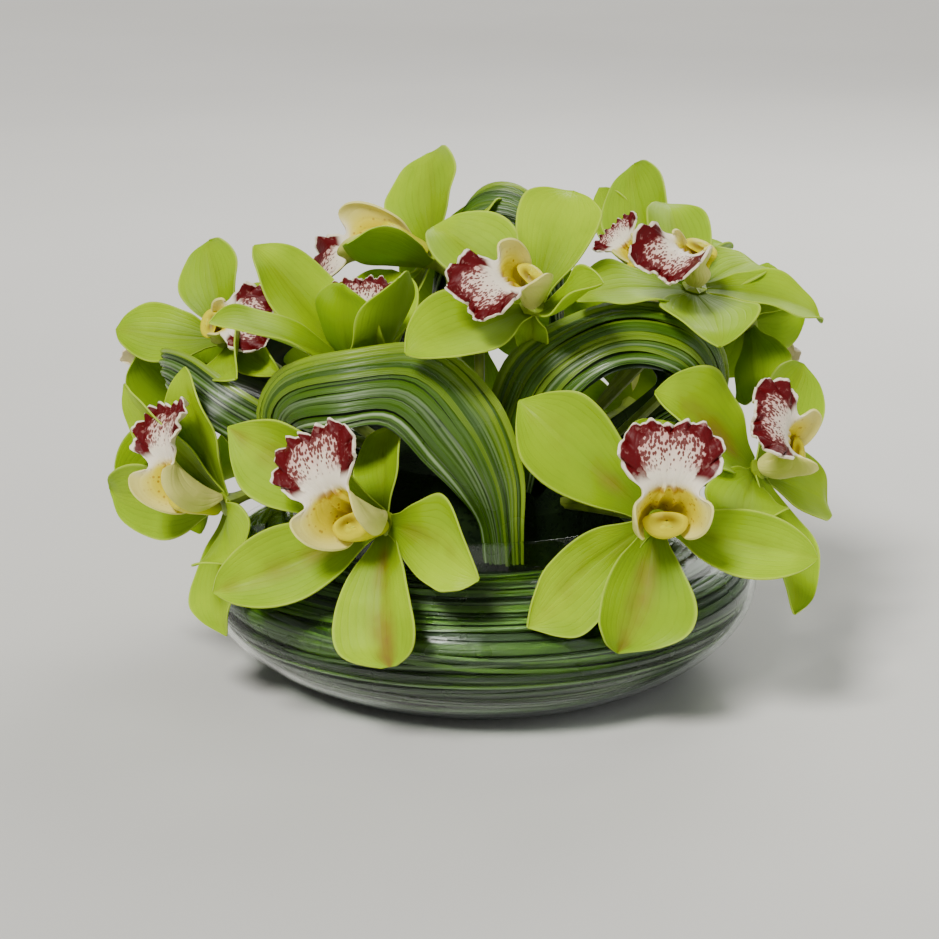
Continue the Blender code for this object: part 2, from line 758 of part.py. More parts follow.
def main():
    clear_scene()
    parts = collection("cymbidium_orchid_bowl")
    glass = material("clear_glass", (0.92, 0.96, 0.94), 0.02, 1.0)
    grass = material("grass_blades", (0.06, 0.20, 0.02), 0.35)
    foam = material("wet_foam", (0.03, 0.10, 0.03), 0.9)
    tepal = material("tepals", (0.45, 0.62, 0.08), 0.45)
    lip = material("lip", (0.80, 0.66, 0.50), 0.5)
    column = material("column", (0.85, 0.72, 0.10), 0.45)
    make_bowl(parts, glass)
    make_coil(parts, grass)
    make_seats(make_foam(parts, foam), parts, foam)
    for loop in LOOPS:
        make_loop(loop, parts, grass)
    for flower in FLOWERS:
        make_tepals(flower, parts, tepal)
        make_lip(flower, parts, lip)
        make_column(flower, parts, column)


main()
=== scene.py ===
# %% [markdown]
# # A low glass bowl of cymbidium orchids
# A florist fills a round glass bowl with long grass blades wound along the inside of the glass, sets open
# green cymbidium blooms in its mouth, and bends bunches of the same grass over in loops between them. This
# lesson dresses the plain solids of that arrangement: thin waxy tepals with veins, frilled lips with a
# burgundy band, separate glossy blades, and clear glass. Everything is in metres, +Z is up and the front
# faces -Y.

# %% The frame
import math
import random

import bpy
from mathutils import Matrix, Vector, noise


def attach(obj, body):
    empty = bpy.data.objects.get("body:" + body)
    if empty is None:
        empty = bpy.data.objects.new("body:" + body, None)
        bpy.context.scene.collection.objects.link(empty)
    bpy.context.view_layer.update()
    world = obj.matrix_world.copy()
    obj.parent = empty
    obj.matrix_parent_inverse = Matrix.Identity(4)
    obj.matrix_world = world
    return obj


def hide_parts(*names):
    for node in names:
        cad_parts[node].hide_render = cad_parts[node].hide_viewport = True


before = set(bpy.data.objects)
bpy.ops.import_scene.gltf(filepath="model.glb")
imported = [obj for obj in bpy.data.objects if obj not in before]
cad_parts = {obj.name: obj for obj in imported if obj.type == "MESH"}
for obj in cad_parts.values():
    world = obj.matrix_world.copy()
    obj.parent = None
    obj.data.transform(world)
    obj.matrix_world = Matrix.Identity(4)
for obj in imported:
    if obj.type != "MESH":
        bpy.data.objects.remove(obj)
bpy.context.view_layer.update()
MM = 0.001

# %% [markdown]
# ## Camera
# The arrangement is looked at from the front and a little from above, through a long lens, so that the far
# blooms keep their size. The camera could be aimed with a constraint, but a plain angle is easier to read:
# it looks along +Y and down.

# %% Camera
VIEW_DOWN = math.radians(16)
VIEW_DISTANCE = 1.2
VIEW_HEIGHT = 81.7 * MM
VIEW_SIDE = -4.3 * MM
LENS = 113.4

bpy.ops.object.camera_add(
    location=(VIEW_SIDE, -VIEW_DISTANCE * math.cos(VIEW_DOWN),
              VIEW_HEIGHT + VIEW_DISTANCE * math.sin(VIEW_DOWN)),
    rotation=(math.pi / 2 - VIEW_DOWN, 0, 0))
camera = bpy.context.active_object
camera.data.sensor_width = 36
camera.data.lens = LENS
camera.data.clip_start = 0.05
bpy.context.scene.camera = camera

# %% [markdown]
# ## Studio light
# Petals look waxy only in soft light. A broad sun from the front left and above is the key, so that the
# floor is lit evenly too; a lamp shines through the thin petals from behind and a weaker one fills the
# right. The world adds an even base.

# %% Studio light
AIM = Vector((0, 0, 0.1))


def area_lamp(name, place, size, watts, colour):
    bpy.ops.object.light_add(type="AREA", location=place)
    lamp = bpy.context.active_object
    lamp.name = name
    lamp.rotation_euler = (AIM - Vector(place)).to_track_quat("-Z", "Y").to_euler()
    lamp.data.shape = "SQUARE"
    lamp.data.size = size
    lamp.data.energy = watts
    lamp.data.color = colour


area_lamp("fill", (1.1, -0.8, 0.6), 0.9, 3, (0.95, 0.98, 1.0))
area_lamp("back", (0.45, 1.0, 0.9), 0.8, 10, (1.0, 1.0, 0.95))
bpy.ops.object.light_add(type="SUN", rotation=(math.radians(42), 0, math.radians(-28)))
sun = bpy.context.active_object
sun.name = "key"
sun.data.energy = 3.7
sun.data.angle = math.radians(16)
sun.data.color = (1.0, 0.98, 0.93)

world = bpy.data.worlds.new("soft_sky")
bpy.context.scene.world = world
world.use_nodes = True
sky = world.node_tree.nodes["Background"].inputs
sky["Color"].default_value = (0.98, 0.99, 0.97, 1)
sky["Strength"].default_value = 0.21

# %% [markdown]
# ## Small tools for nodes
# Every finish here is made of shader nodes, and most of these are arithmetic on masks. A small class lets
# that be written as arithmetic: where values are added or multiplied, it puts a Math node in their tree.
# Clicking such a tree together by hand gives the same nodes, but is slow to read back.

# %% Values that make Math nodes
class Value:
    """What a node gives out. Sums, differences and products of values become Math nodes."""

    def __init__(self, socket):
        self.socket = socket
        self.tree = socket.id_data

    def __add__(self, other):
        return maths("ADD", self, other)

    def __sub__(self, other):
        return maths("SUBTRACT", self, other)

    def __rsub__(self, other):
        return maths("SUBTRACT", other, self)

    def __mul__(self, other):
        return maths("MULTIPLY", self, other)


def tree_of(values):
    return next(value.tree for value in values if isinstance(value, Value))


def fill_socket(socket, value):
    if isinstance(value, Value):
        value.tree.links.new(value.socket, socket)
    else:
        socket.default_value = (*value, 1) if socket.type == "RGBA" else value


# %% Adding nodes
def add_node(tree, kind, sockets=None, **settings):
    node = tree.nodes.new(kind)
    for key, value in settings.items():
        setattr(node, key, value)
    for key, value in (sockets or {}).items():
        fill_socket(node.inputs[key], value)
    return node


def maths(operation, *values):
    node = add_node(tree_of(values), "ShaderNodeMath", dict(enumerate(values)), operation=operation)
    return Value(node.outputs[0])


def mixed(share, first, second):
    """first where share is 0, second where it is 1."""
    sockets = {"Factor": share, 6: first, 7: second}
    return Value(add_node(tree_of(sockets.values()), "ShaderNodeMix", sockets, data_type="RGBA").outputs[2])


def ramp(value, low, high, start=0.0, end=1.0):
    """A smooth step from start to end, as value goes from low to high."""
    sockets = {"Value": value, "From Min": low, "From Max": high, "To Min": start, "To Max": end}
    node = add_node(value.tree, "ShaderNodeMapRange", sockets, interpolation_type="SMOOTHSTEP")
    return Value(node.outputs["Result"])


def side_by_side(x, y):
    """Two numbers as one place, for a texture that is laid along a sheet."""
    return Value(add_node(x.tree, "ShaderNodeCombineXYZ", {"X": x, "Y": y}).outputs[0])


# %% Making and using node groups
def new_group(name, output, **inputs):
    """A node group, the values it is given and the socket of its one number. A default of None is a place."""
    tree = bpy.data.node_groups.new(name, "ShaderNodeTree")
    for label, default in inputs.items():
        kind = "NodeSocketVector" if default is None else "NodeSocketFloat"
        socket = tree.interface.new_socket(label, in_out="INPUT", socket_type=kind)
        if default is not None:
            socket.default_value = default
    tree.interface.new_socket(output, in_out="OUTPUT", socket_type="NodeSocketFloat")
    source = tree.nodes.new("NodeGroupInput").outputs
    return tree, [Value(source[label]) for label in inputs], tree.nodes.new("NodeGroupOutput").inputs[output]


def use_group(group, **sockets):
    return Value(add_node(tree_of(sockets.values()), "ShaderNodeGroup", sockets, node_tree=group).outputs[0])


# %% Starting and ending a finish
def new_finish(name):
    finish = bpy.data.materials.new(name)
    finish.use_nodes = True
    return finish


def object_place(finish):
    return Value(add_node(finish.node_tree, "ShaderNodeTexCoord").outputs["Object"])


def attribute(finish, name):
    return Value(add_node(finish.node_tree, "ShaderNodeAttribute", attribute_name=name).outputs["Fac"])


def sheet_place(finish):
    """(along, across, distance from the middle line from 0 to 1) of a sheet, read from its UV map."""
    uv = Value(add_node(finish.node_tree, "ShaderNodeUVMap", uv_map="UVMap").outputs["UV"])
    split = add_node(finish.node_tree, "ShaderNodeSeparateXYZ", {0: uv}).outputs
    along, across = Value(split["X"]), Value(split["Y"])
    return along, across, maths("ABSOLUTE", across - 0.5) * 2.0


def dress_shader(finish, body, rough, bump=None, sunk=False, **plain):
    """Gives the shader its colour, roughness and bump (height, strength, mm), then the plain numbers."""
    shader = finish.node_tree.nodes["Principled BSDF"]
    fill_socket(shader.inputs["Base Color"], body)
    fill_socket(shader.inputs["Roughness"], rough)
    if bump:
        height, strength, depth = bump
        sockets = {"Strength": strength, "Distance": depth * MM, "Height": height}
        node = add_node(finish.node_tree, "ShaderNodeBump", sockets, invert=sunk)
        fill_socket(shader.inputs["Normal"], Value(node.outputs[0]))
    for key, value in plain.items():
        shader.inputs[key.replace("_", " ")].default_value = value
    return shader


# %% [markdown]
# ## Effects that several finishes share
# Veins run the length of tepals, lips and grass blades, so they are one node group: thin lines across the
# sheet that a little noise keeps from being ruled. Mottling is a second group, soft clouds of light and
# dark that every living surface has. Speckles are a third: small round dots, dense or sparse.

# %% Node groups: veins, mottling, speckles
veins, (along, across, count, wander), lines = new_group(
    "veins", "Lines", Along=0.0, Across=0.0, Count=12.0, Wander=0.6)
bend = add_node(veins, "ShaderNodeTexNoise",
                {"Vector": side_by_side(along * 3.0, across * 9.0), "Scale": 1.0, "Detail": 1.0})
turns = across * count + (Value(bend.outputs[0]) - 0.5) * wander
wave = maths("COSINE", turns * (2 * math.pi))
fill_socket(lines, maths("POWER", (wave + 1.0) * 0.5, 5.0))

mottle, (place, scale), cloud = new_group("mottle", "Cloud", Place=None, Scale=60.0)
haze = add_node(mottle, "ShaderNodeTexNoise", {"Vector": place, "Scale": scale, "Detail": 3.0})
fill_socket(cloud, ramp(Value(haze.outputs[0]), 0.3, 0.7))

speckles, (place, scale, dot_size), dots = new_group("speckles", "Dots", Place=None, Scale=800.0, Size=0.3)
cells = add_node(speckles, "ShaderNodeTexVoronoi", {"Vector": place, "Scale": scale})
fill_socket(dots, ramp(dot_size - Value(cells.outputs["Distance"]), -0.06, 0.06))

# %% [markdown]
# ## Tepal finish
# A cymbidium tepal is waxy lime green, with long faint veins and sometimes a brown-pink blush along the
# middle; painted shade darkens it towards its root and along its middle, and a painted highlight lightens
# its thin edge. Light passes through it, which a little subsurface scattering gives. `tone` and `blush` are
# attributes that each tepal carries; `front` tells face from back.

# %% Tepal finish
LIME = (0.41, 0.62, 0.002)
LEAF = (0.22, 0.38, 0.001)
VEIN_AND_SHADE_GREEN = (0.085, 0.15, 0.001)
PAINTED_EDGE_HIGHLIGHT = (0.62, 0.80, 0.10)
BLUSH = (0.26, 0.14, 0.03)


def make_tepal_finish():
    finish = new_finish("waxy_tepal")
    along, across, off = sheet_place(finish)
    lines = use_group(veins, Along=along, Across=across, Count=13.0, Wander=1.1)
    cloud = use_group(mottle, Place=object_place(finish), Scale=38.0)
    body = mixed(attribute(finish, "tone"), LIME, LEAF)
    body = mixed(cloud * 0.62, body, LEAF)
    # painted shade: each tepal is darkened along its middle and, most of all, towards its root
    body = mixed(ramp(off, 0.0, 0.75, 0.6, 0.0) * ramp(along, 0.9, 0.4), body, LEAF)
    body = mixed(ramp(along, 0.55, 0.0, 0.0, 0.8), body, VEIN_AND_SHADE_GREEN)
    body = mixed(lines * (cloud * 0.13), body, VEIN_AND_SHADE_GREEN)
    streak = ramp(off, 0.5, 0.05) * ramp(along, 0.05, 0.3) * cloud * attribute(finish, "blush")
    body = mixed(streak, body, BLUSH)
    # painted highlight: the thin edge is lightened
    body = mixed(ramp(off, 0.93, 1.0) * 0.5, body, PAINTED_EDGE_HIGHLIGHT)
    body = mixed(attribute(finish, "front"), mixed(0.35, body, LEAF), body)
    dress_shader(finish, body, ramp(cloud, 0.0, 1.0, 0.44, 0.58), (lines * -0.6 + cloud * 0.4, 0.35, 0.25),
                 Subsurface_Weight=0.22, Subsurface_Radius=(0.8, 1.0, 0.05), Subsurface_Scale=2.5 * MM,
                 Specular_IOR_Level=0.16)
    return finish


TEPAL_FINISH = make_tepal_finish()

# %% [markdown]
# ## Lip finish
# The lip is the third petal, and the showy one. Its front lobe is white with a broken burgundy band near
# the frilled margin and speckles inside the band; the tube behind is cream outside and yellow inside, with
# rusty spots. A dark band at the throat's mouth is partly red marking and partly painted shade, and painted
# shade darkens the tube towards the lip's root. All of it is placed by how far a point is along the lip and
# from the lip's edge.

# %% Lip finish
IVORY = (0.98, 0.88, 0.70)
CREAM = (0.82, 0.76, 0.24)
BURGUNDY = (0.105, 0.0, 0.002)
ROSE = (0.66, 0.20, 0.22)
YOLK = (0.80, 0.67, 0.001)
RUST = (0.30, 0.06, 0.004)
TUBE_OUTSIDE = (0.78, 0.75, 0.20)


def make_lip_finish():
    finish = new_finish("frilled_lip")
    along, across, off = sheet_place(finish)
    place = object_place(finish)
    cloud = use_group(mottle, Place=place, Scale=330.0)
    # how far in from the lip's edge a point is, about 0.045 for each millimetre
    edge = maths("SMOOTH_MIN", (1.0 - off) * 0.88, (1.0 - along) * 2.3, 0.12)
    inside_rim = ramp(edge, 0.03, 0.06)
    # the band is broad on the two side corners and narrow in the middle of the front
    within = ramp(off, 0.25, 0.75, 0.17, 0.40) - (edge + (cloud - 0.5) * 0.13)
    band = inside_rim * ramp(within, -0.02, 0.04) * ramp(along, 0.56, 0.62)
    # rays of dots run from the throat towards the band
    dots = use_group(speckles, Place=side_by_side(along * 32.0, across * 38.0), Scale=1.0,
                     Size=ramp(within, -0.65, 0.0, 0.30, 0.60))
    spread = inside_rim * ramp(along, 0.60, 0.70)
    body = mixed(ramp(along, 0.42, 0.52), CREAM, IVORY)
    body = mixed(spread * ramp(within, -0.6, 0.0, 0.14, 0.62), body, ROSE)
    body = mixed(dots * spread * 0.92, body, BURGUNDY)
    body = mixed(band * ramp(cloud, 0.0, 0.3, 0.8, 1.0), body, BURGUNDY)
    throat = ramp(along, 0.56, 0.47) * ramp(off, 0.95, 0.55)
    body = mixed(throat, body, YOLK)
    # the dark band at the throat's mouth is partly red marking and partly painted shade; the rust colour
    # towards the lip's root, deep in the tube, is painted shade
    mouth = ramp(along, 0.44, 0.48) * ramp(along, 0.54, 0.50) * ramp(off, 0.6, 0.3)
    rust_and_throat_shade = use_group(speckles, Place=place, Scale=420.0, Size=0.22) * (throat * 0.6)
    rust_and_throat_shade = maths("MAXIMUM", rust_and_throat_shade, mouth * ramp(cloud, 0.2, 0.6, 0.05, 0.6))
    rust_and_throat_shade = maths("MAXIMUM", rust_and_throat_shade, ramp(along, 0.25, 0.0) * 0.5)
    body = mixed(rust_and_throat_shade, body, RUST)
    outside = mixed(ramp(along, 0.42, 0.8, 0.0, 0.4), TUBE_OUTSIDE, ROSE)
    outside = mixed(ramp(along, 0.55, 0.65, 0.0, 0.5), outside, IVORY)
    body = mixed(attribute(finish, "front"), outside, body)
    lines = use_group(veins, Along=along, Across=across, Count=13.0, Wander=0.5)
    dress_shader(finish, body, ramp(cloud, 0.0, 1.0, 0.42, 0.55), (cloud * 0.5 - lines * 0.6, 0.4, 0.3),
                 Subsurface_Weight=0.05, Subsurface_Radius=(1.0, 0.7, 0.4), Subsurface_Scale=1.0 * MM,
                 Specular_IOR_Level=0.2)
    return finish


LIP_FINISH = make_lip_finish()

# %% [markdown]
# ## Column and stalk finishes
# The column is the waxy club in the middle of the flower. It is yellow-green at its base and lemon yellow
# further out, with rusty spots on the hollow side that faces the lip; that side and the column's end are
# darkened brown as painted shade. The stalk is olive.

# %% Column and stalk finishes
COLUMN_BASE = (0.58, 0.60, 0.02)
LEMON = (0.74, 0.66, 0.001)
LIGHT_LEMON = (0.76, 0.70, 0.001)
HOLLOW_SHADE_BROWN = (0.36, 0.14, 0.003)
END_SHADE_BROWN = (0.15, 0.08, 0.001)


def make_column_finish():
    finish = new_finish("yellow_column")
    along, _, off = sheet_place(finish)
    place = object_place(finish)
    cloud = use_group(mottle, Place=place, Scale=300.0)
    body = mixed(ramp(along, 0.1, 0.7), COLUMN_BASE, LEMON)
    body = mixed(cloud * 0.25, body, LIGHT_LEMON)
    hollow = ramp(off, 0.42, 0.1) * ramp(along, 1.0, 0.8)
    body = mixed(use_group(speckles, Place=place, Scale=900.0, Size=0.3) * hollow, body, RUST)
    # painted shade: the hollow side and the end of the column are darkened brown
    body = mixed(hollow * 0.75, body, HOLLOW_SHADE_BROWN)
    body = mixed(ramp(along, 0.955, 0.99) * ramp(off, 0.9, 0.4, 0.2, 0.85), body, END_SHADE_BROWN)
    dress_shader(finish, body, ramp(cloud, 0.0, 1.0, 0.35, 0.5), (cloud, 0.3, 0.3),
                 Subsurface_Weight=0.06, Subsurface_Radius=(1.0, 0.8, 0.1), Subsurface_Scale=2 * MM,
                 Specular_IOR_Level=0.2)
    return finish


def make_stalk_finish():
    finish = new_finish("olive_stalk")
    along, across, _ = sheet_place(finish)
    cloud = use_group(mottle, Place=object_place(finish), Scale=180.0)
    lines = use_group(veins, Along=along, Across=across, Count=6.0, Wander=0.3)
    body = mixed(cloud, (0.16, 0.22, 0.02), (0.26, 0.34, 0.04))
    body = mixed(ramp(along, 0.2, 0.05), body, (0.28, 0.40, 0.01))
    dress_shader(finish, body, ramp(cloud, 0.0, 1.0, 0.4, 0.6), (lines, 0.5, 0.4))
    return finish


COLUMN_FINISH = make_column_finish()
STALK_FINISH = make_stalk_finish()

# %% [markdown]
# ## Grass finish
# The blades are smooth and glossy. Some are dark, some are fresh lime, and a few have a silvery streak
# along the middle, partly their own variegation and partly a painted sheen. Each blade carries two
# attributes, `tone` and `streak`, so that one finish does for all of them.

# %% Grass finish
GRASS_DARK = (0.006, 0.018, 0.002)
GRASS_GREEN = (0.055, 0.135, 0.006)
GRASS_LIME = (0.26, 0.40, 0.012)
GRASS_CLOUD = (0.11, 0.22, 0.008)
GRASS_VEIN = (0.012, 0.04, 0.003)
GRASS_SILVER_AND_SHEEN = (0.36, 0.48, 0.26)


def make_grass_finish():
    finish = new_finish("grass_blade")
    along, across, off = sheet_place(finish)
    cloud = use_group(mottle, Place=object_place(finish), Scale=30.0)
    lines = use_group(veins, Along=along, Across=across, Count=5.0, Wander=0.25)
    tone = attribute(finish, "tone")
    body = mixed(ramp(tone, 0.0, 0.5), GRASS_DARK, GRASS_GREEN)
    body = mixed(ramp(tone, 0.55, 1.0), body, GRASS_LIME)
    body = mixed(cloud * (tone * 0.4), body, GRASS_CLOUD)
    body = mixed(lines * 0.35, body, GRASS_VEIN)
    # the silvery streak is partly the blade's own variegation and partly painted sheen
    silver_and_sheen = ramp(off, 0.55, 0.15) * attribute(finish, "streak") * ramp(cloud, 0.0, 1.0, 0.55, 1.0)
    body = mixed(silver_and_sheen, body, GRASS_SILVER_AND_SHEEN)
    dress_shader(finish, body, ramp(cloud, 0.0, 1.0, 0.24, 0.36), (lines, 0.4, 0.2),
                 Coat_Weight=0.15, Coat_Roughness=0.2)
    return finish


GRASS_FINISH = make_grass_finish()

# %% [markdown]
# ## Foam, glass and floor
# Wet florist's foam is dark green and full of pores. The glass is clear with a faint green tint and bends
# light only a little, so that the grass shows out to its edge; only the neck has a coat that shines. A Mix
# Shader lets lamp light straight through it, so that the grass inside isn't left in the dark. The floor is
# pale and matt.

# %% Foam, glass and floor finishes
SHINE_FROM, SHINE_TO = 58 * MM, 66 * MM


def make_foam_finish():
    finish = new_finish("wet_foam")
    place = object_place(finish)
    cloud = use_group(mottle, Place=place, Scale=90.0)
    pores = use_group(speckles, Place=place, Scale=500.0, Size=0.35)
    body = mixed(cloud, (0.004, 0.011, 0.003), (0.010, 0.022, 0.005))
    body = mixed(pores * 0.6, body, (0.003, 0.01, 0.003))
    dress_shader(finish, body, ramp(cloud, 0.0, 1.0, 0.7, 0.95), (pores, 0.8, 0.6), sunk=True,
                 Specular_IOR_Level=0.1)
    return finish


def make_glass_finish():
    finish = new_finish("clear_glass")
    tree = finish.node_tree
    place = object_place(finish)
    cloud = use_group(mottle, Place=place, Scale=14.0)
    tint = mixed(cloud, (0.97, 1.0, 0.98), (0.94, 0.98, 0.96))
    shader = dress_shader(finish, tint, ramp(cloud, 0.0, 1.0, 0.0, 0.015),
                          IOR=1.12, Transmission_Weight=1.0, Coat_Roughness=0.03)
    height = Value(add_node(tree, "ShaderNodeSeparateXYZ", {0: place}).outputs["Z"])
    fill_socket(shader.inputs["Coat Weight"], ramp(height, SHINE_FROM, SHINE_TO, 0.0, 0.5))
    clear = add_node(tree, "ShaderNodeBsdfTransparent", {"Color": (0.93, 0.97, 0.94)})
    to_lamp = Value(add_node(tree, "ShaderNodeLightPath").outputs["Is Shadow Ray"])
    both = add_node(tree, "ShaderNodeMixShader",
                    {0: to_lamp, 1: Value(shader.outputs[0]), 2: Value(clear.outputs[0])})
    fill_socket(tree.nodes["Material Output"].inputs["Surface"], Value(both.outputs[0]))
    return finish


def make_floor_finish():
    finish = new_finish("pale_floor")
    cloud = use_group(mottle, Place=object_place(finish), Scale=3.0)
    dress_shader(finish, mixed(cloud, (0.72, 0.71, 0.69), (0.75, 0.74, 0.72)), 0.8)
    return finish


FOAM_FINISH = make_foam_finish()
GLASS_FINISH = make_glass_finish()

# %% The floor
bpy.ops.mesh.primitive_plane_add(size=14)
floor = bpy.context.active_object
floor.name = "floor"
floor.data.materials.append(make_floor_finish())

# %% [markdown]
# ## Small tools for modelling
# Petals, lips and blades are all thin sheets, and the quickest way to a good thin sheet is a flat grid that
# is bent into place and then given thickness. Round things such as stalks are a grid wrapped round a path.
# Each helper starts from a primitive and ends with its modifiers applied.

# %% Applying, joining and seating
SMOOTH_BELOW = math.radians(50)


def select_only(*objects):
    bpy.ops.object.select_all(action="DESELECT")
    for obj in objects:
        obj.select_set(True)
    bpy.context.view_layer.objects.active = objects[0]


def apply_modifiers(obj):
    select_only(obj)
    for modifier in list(obj.modifiers):
        bpy.ops.object.modifier_apply(modifier=modifier.name)


def join_pieces(name, pieces):
    select_only(*pieces)
    if len(pieces) > 1:
        bpy.ops.object.join()
    whole = bpy.context.active_object
    whole.name = name
    whole.data.name = name
    bpy.ops.object.shade_smooth_by_angle(angle=SMOOTH_BELOW)
    return whole


def set_attribute(obj, name, values):
    """Gives every point of the mesh one value, or its own where values is a list."""
    count = len(obj.data.vertices)
    held = obj.data.attributes.new(name, "FLOAT", "POINT")
    held.data.foreach_set("value", values if isinstance(values, list) else [values] * count)


def seat_piece(obj, slot, *nodes):
    """Hands a finished piece to the frame: it rides on the one body and stands for its plain solids."""
    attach(obj, "root")
    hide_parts(*nodes)
    print(obj.name, len(obj.data.polygons), "faces")


# %% Bending a grid into a sheet or a rod
def bent_grid(name, along, across, place, finish):
    """A flat grid whose points are moved by place(u, v), u from 0 to 1 and v from -1 to 1."""
    bpy.ops.mesh.primitive_grid_add(x_subdivisions=along, y_subdivisions=across, size=2)
    obj = bpy.context.active_object
    obj.name = name
    for point in obj.data.vertices:
        point.co = place((point.co.x + 1) / 2, point.co.y)
    obj.data.materials.append(finish)
    return obj


def bent_sheet(name, along, across, place, thickness, finish, facing=None, **marks):
    """A bent grid that is given thickness. marks are attributes for the whole sheet; facing is the way its
    face looks in the middle, for the attribute that tells face from back."""
    obj = bent_grid(name, along, across, place, finish)
    single = len(obj.data.vertices)
    wall = obj.modifiers.new("thickness", "SOLIDIFY")
    wall.thickness = thickness
    wall.offset = 0
    apply_modifiers(obj)
    if facing is not None:
        points, middle = obj.data.vertices, single // 2
        first = float((points[middle].co - points[middle + single].co).dot(facing) > 0)
        marks["front"] = [first] * single + [1.0 - first] * single
    for key, value in marks.items():
        set_attribute(obj, key, value)
    return obj


def close_mesh(obj, near):
    """Merges the points that meet and turns every face outwards."""
    bpy.ops.object.mode_set(mode="EDIT")
    bpy.ops.mesh.select_all(action="SELECT")
    bpy.ops.mesh.remove_doubles(threshold=near)
    bpy.ops.mesh.delete_loose()
    bpy.ops.mesh.select_all(action="SELECT")
    bpy.ops.mesh.normals_make_consistent(inside=False)
    bpy.ops.object.mode_set(mode="OBJECT")


def wrapped_rod(name, along, around, place, finish):
    """A grid wrapped to a closed rod by place(u, angle); its ends come to a point, so it has no holes."""
    obj = bent_grid(name, along, around, lambda u, v: place(u, v * math.pi), finish)
    close_mesh(obj, 0.004 * MM)
    return obj


# %% Reading values between stations
def smooth_step(low, high, value):
    t = min(max((value - low) / (high - low), 0.0), 1.0)
    return t * t * (3 - 2 * t)


def between(stations, share, column):
    """Value of one column of the stations at a share of the length, on a smooth curve through them."""
    last = len(stations) - 1
    index = 0
    while index < last - 1 and share > stations[index + 1][0]:
        index += 1

    def slope(at):
        before, after = stations[max(at - 1, 0)], stations[min(at + 1, last)]
        return (after[column] - before[column]) / (after[0] - before[0])

    low, high = stations[index], stations[index + 1]
    span = high[0] - low[0]
    t = min(max((share - low[0]) / span, 0.0), 1.0)
    return ((2 * t ** 3 - 3 * t ** 2 + 1) * low[column] + (t ** 3 - 2 * t ** 2 + t) * span * slope(index)
            + (3 * t ** 2 - 2 * t ** 3) * high[column] + (t ** 3 - t ** 2) * span * slope(index + 1))


def frame_at(frames, share):
    """The frame at a share of the length, between the two nearest ones."""
    place = min(max(share, 0.0) * (len(frames) - 1), len(frames) - 1.000001)
    index = int(place)
    return tuple(a.lerp(b, place - index) for a, b in zip(frames[index], frames[index + 1]))


def smooth_path(points, steps):
    """Points on a Catmull-Rom curve through the given ones, evenly spread in parameter."""
    padded = [points[0] * 2 - points[1]] + points + [points[-1] * 2 - points[-2]]
    spans = len(points) - 1
    path = []
    for step in range(steps + 1):
        place = min(step * spans / steps, spans - 1e-6)
        index = int(place)
        t = place - index
        a, b, c, d = padded[index:index + 4]
        path.append(0.5 * (2 * b + (c - a) * t + (2 * a - 5 * b + 4 * c - d) * t ** 2
                           + (3 * b - a - 3 * c + d) * t ** 3))
    return path


def arc_across(half_width, cup, v):
    """(sideways, forward) place on a strip that is bent to an arc, at v from -1 to 1."""
    if abs(cup) < 1e-3:
        return half_width * v, 0.0
    return half_width * math.sin(cup * v) / cup, half_width * (1 - math.cos(cup * v)) / cup


# %% [markdown]
# ## The glass bowl
# The real bowl is blown: one wall, round in section, with a short neck and a flat base. The wall's section
# is a closed ring of points, made from a circle, and spinning it round the upright axis gives the whole
# shell with its inside and outside at once.

# %% The glass bowl
BOWL_RADIUS = 113 * MM
BOWL_MIDDLE = 40 * MM
BOWL_BELLY = 51 * MM
BOWL_SHOULDER = 33 * MM
BASE_RADIUS = 68 * MM
MOUTH_RADIUS = 79 * MM
BOWL_HEIGHT = 75 * MM
NECK_LOW = BOWL_HEIGHT - 10 * MM
GLASS = 1.8 * MM
FLOOR = 2.8 * MM
RIM_ROUND = GLASS * 0.62
SPIN_STEPS = 128


def round_profile(low, high, count, inset):
    """(radius, height) pairs on the bowl's round between two heights."""
    def angle_of(height):
        half = BOWL_SHOULDER if height > BOWL_MIDDLE else BOWL_BELLY
        return math.asin((height - BOWL_MIDDLE) / (half - inset))
    start, end = angle_of(low), angle_of(high)
    pairs = []
    for step in range(count + 1):
        angle = start + (end - start) * step / count
        half = (BOWL_SHOULDER if angle > 0 else BOWL_BELLY) - inset
        pairs.append(((BOWL_RADIUS - inset) * math.cos(angle), BOWL_MIDDLE + half * math.sin(angle)))
    return pairs


def shoulder_height(mouth, inset):
    half = BOWL_SHOULDER - inset
    return BOWL_MIDDLE + half * math.sqrt(1 - (mouth / (BOWL_RADIUS - inset)) ** 2)


def bowl_section():
    inner_mouth = MOUTH_RADIUS - GLASS
    inner = round_profile(FLOOR + 0.8 * MM, shoulder_height(inner_mouth, GLASS) - 1 * MM, 26, GLASS)
    outer = round_profile(1.6 * MM, shoulder_height(MOUTH_RADIUS, 0) - 1 * MM, 28, 0)
    rim = []
    for step in range(9):
        turn = math.pi * step / 8
        rim.append((MOUTH_RADIUS - GLASS * 0.4 - RIM_ROUND * math.cos(turn),
                    BOWL_HEIGHT - RIM_ROUND + RIM_ROUND * math.sin(turn)))
    neck_in = [(inner_mouth + 0.4 * MM, NECK_LOW - 1 * MM), (inner_mouth, NECK_LOW + 2 * MM)]
    neck_out = [(MOUTH_RADIUS, NECK_LOW + 2 * MM), (MOUTH_RADIUS + 0.4 * MM, NECK_LOW - 1 * MM)]
    floor_in = [(0.0, FLOOR), (inner[0][0] * 0.5, FLOOR), (inner[0][0] - 3 * MM, FLOOR)]
    foot = [(BASE_RADIUS + 1.5 * MM, 0.5 * MM), (BASE_RADIUS, 0.0), (BASE_RADIUS * 0.5, 0.0), (0.0, 0.0)]
    return floor_in + inner + neck_in + rim + neck_out + outer[::-1] + foot


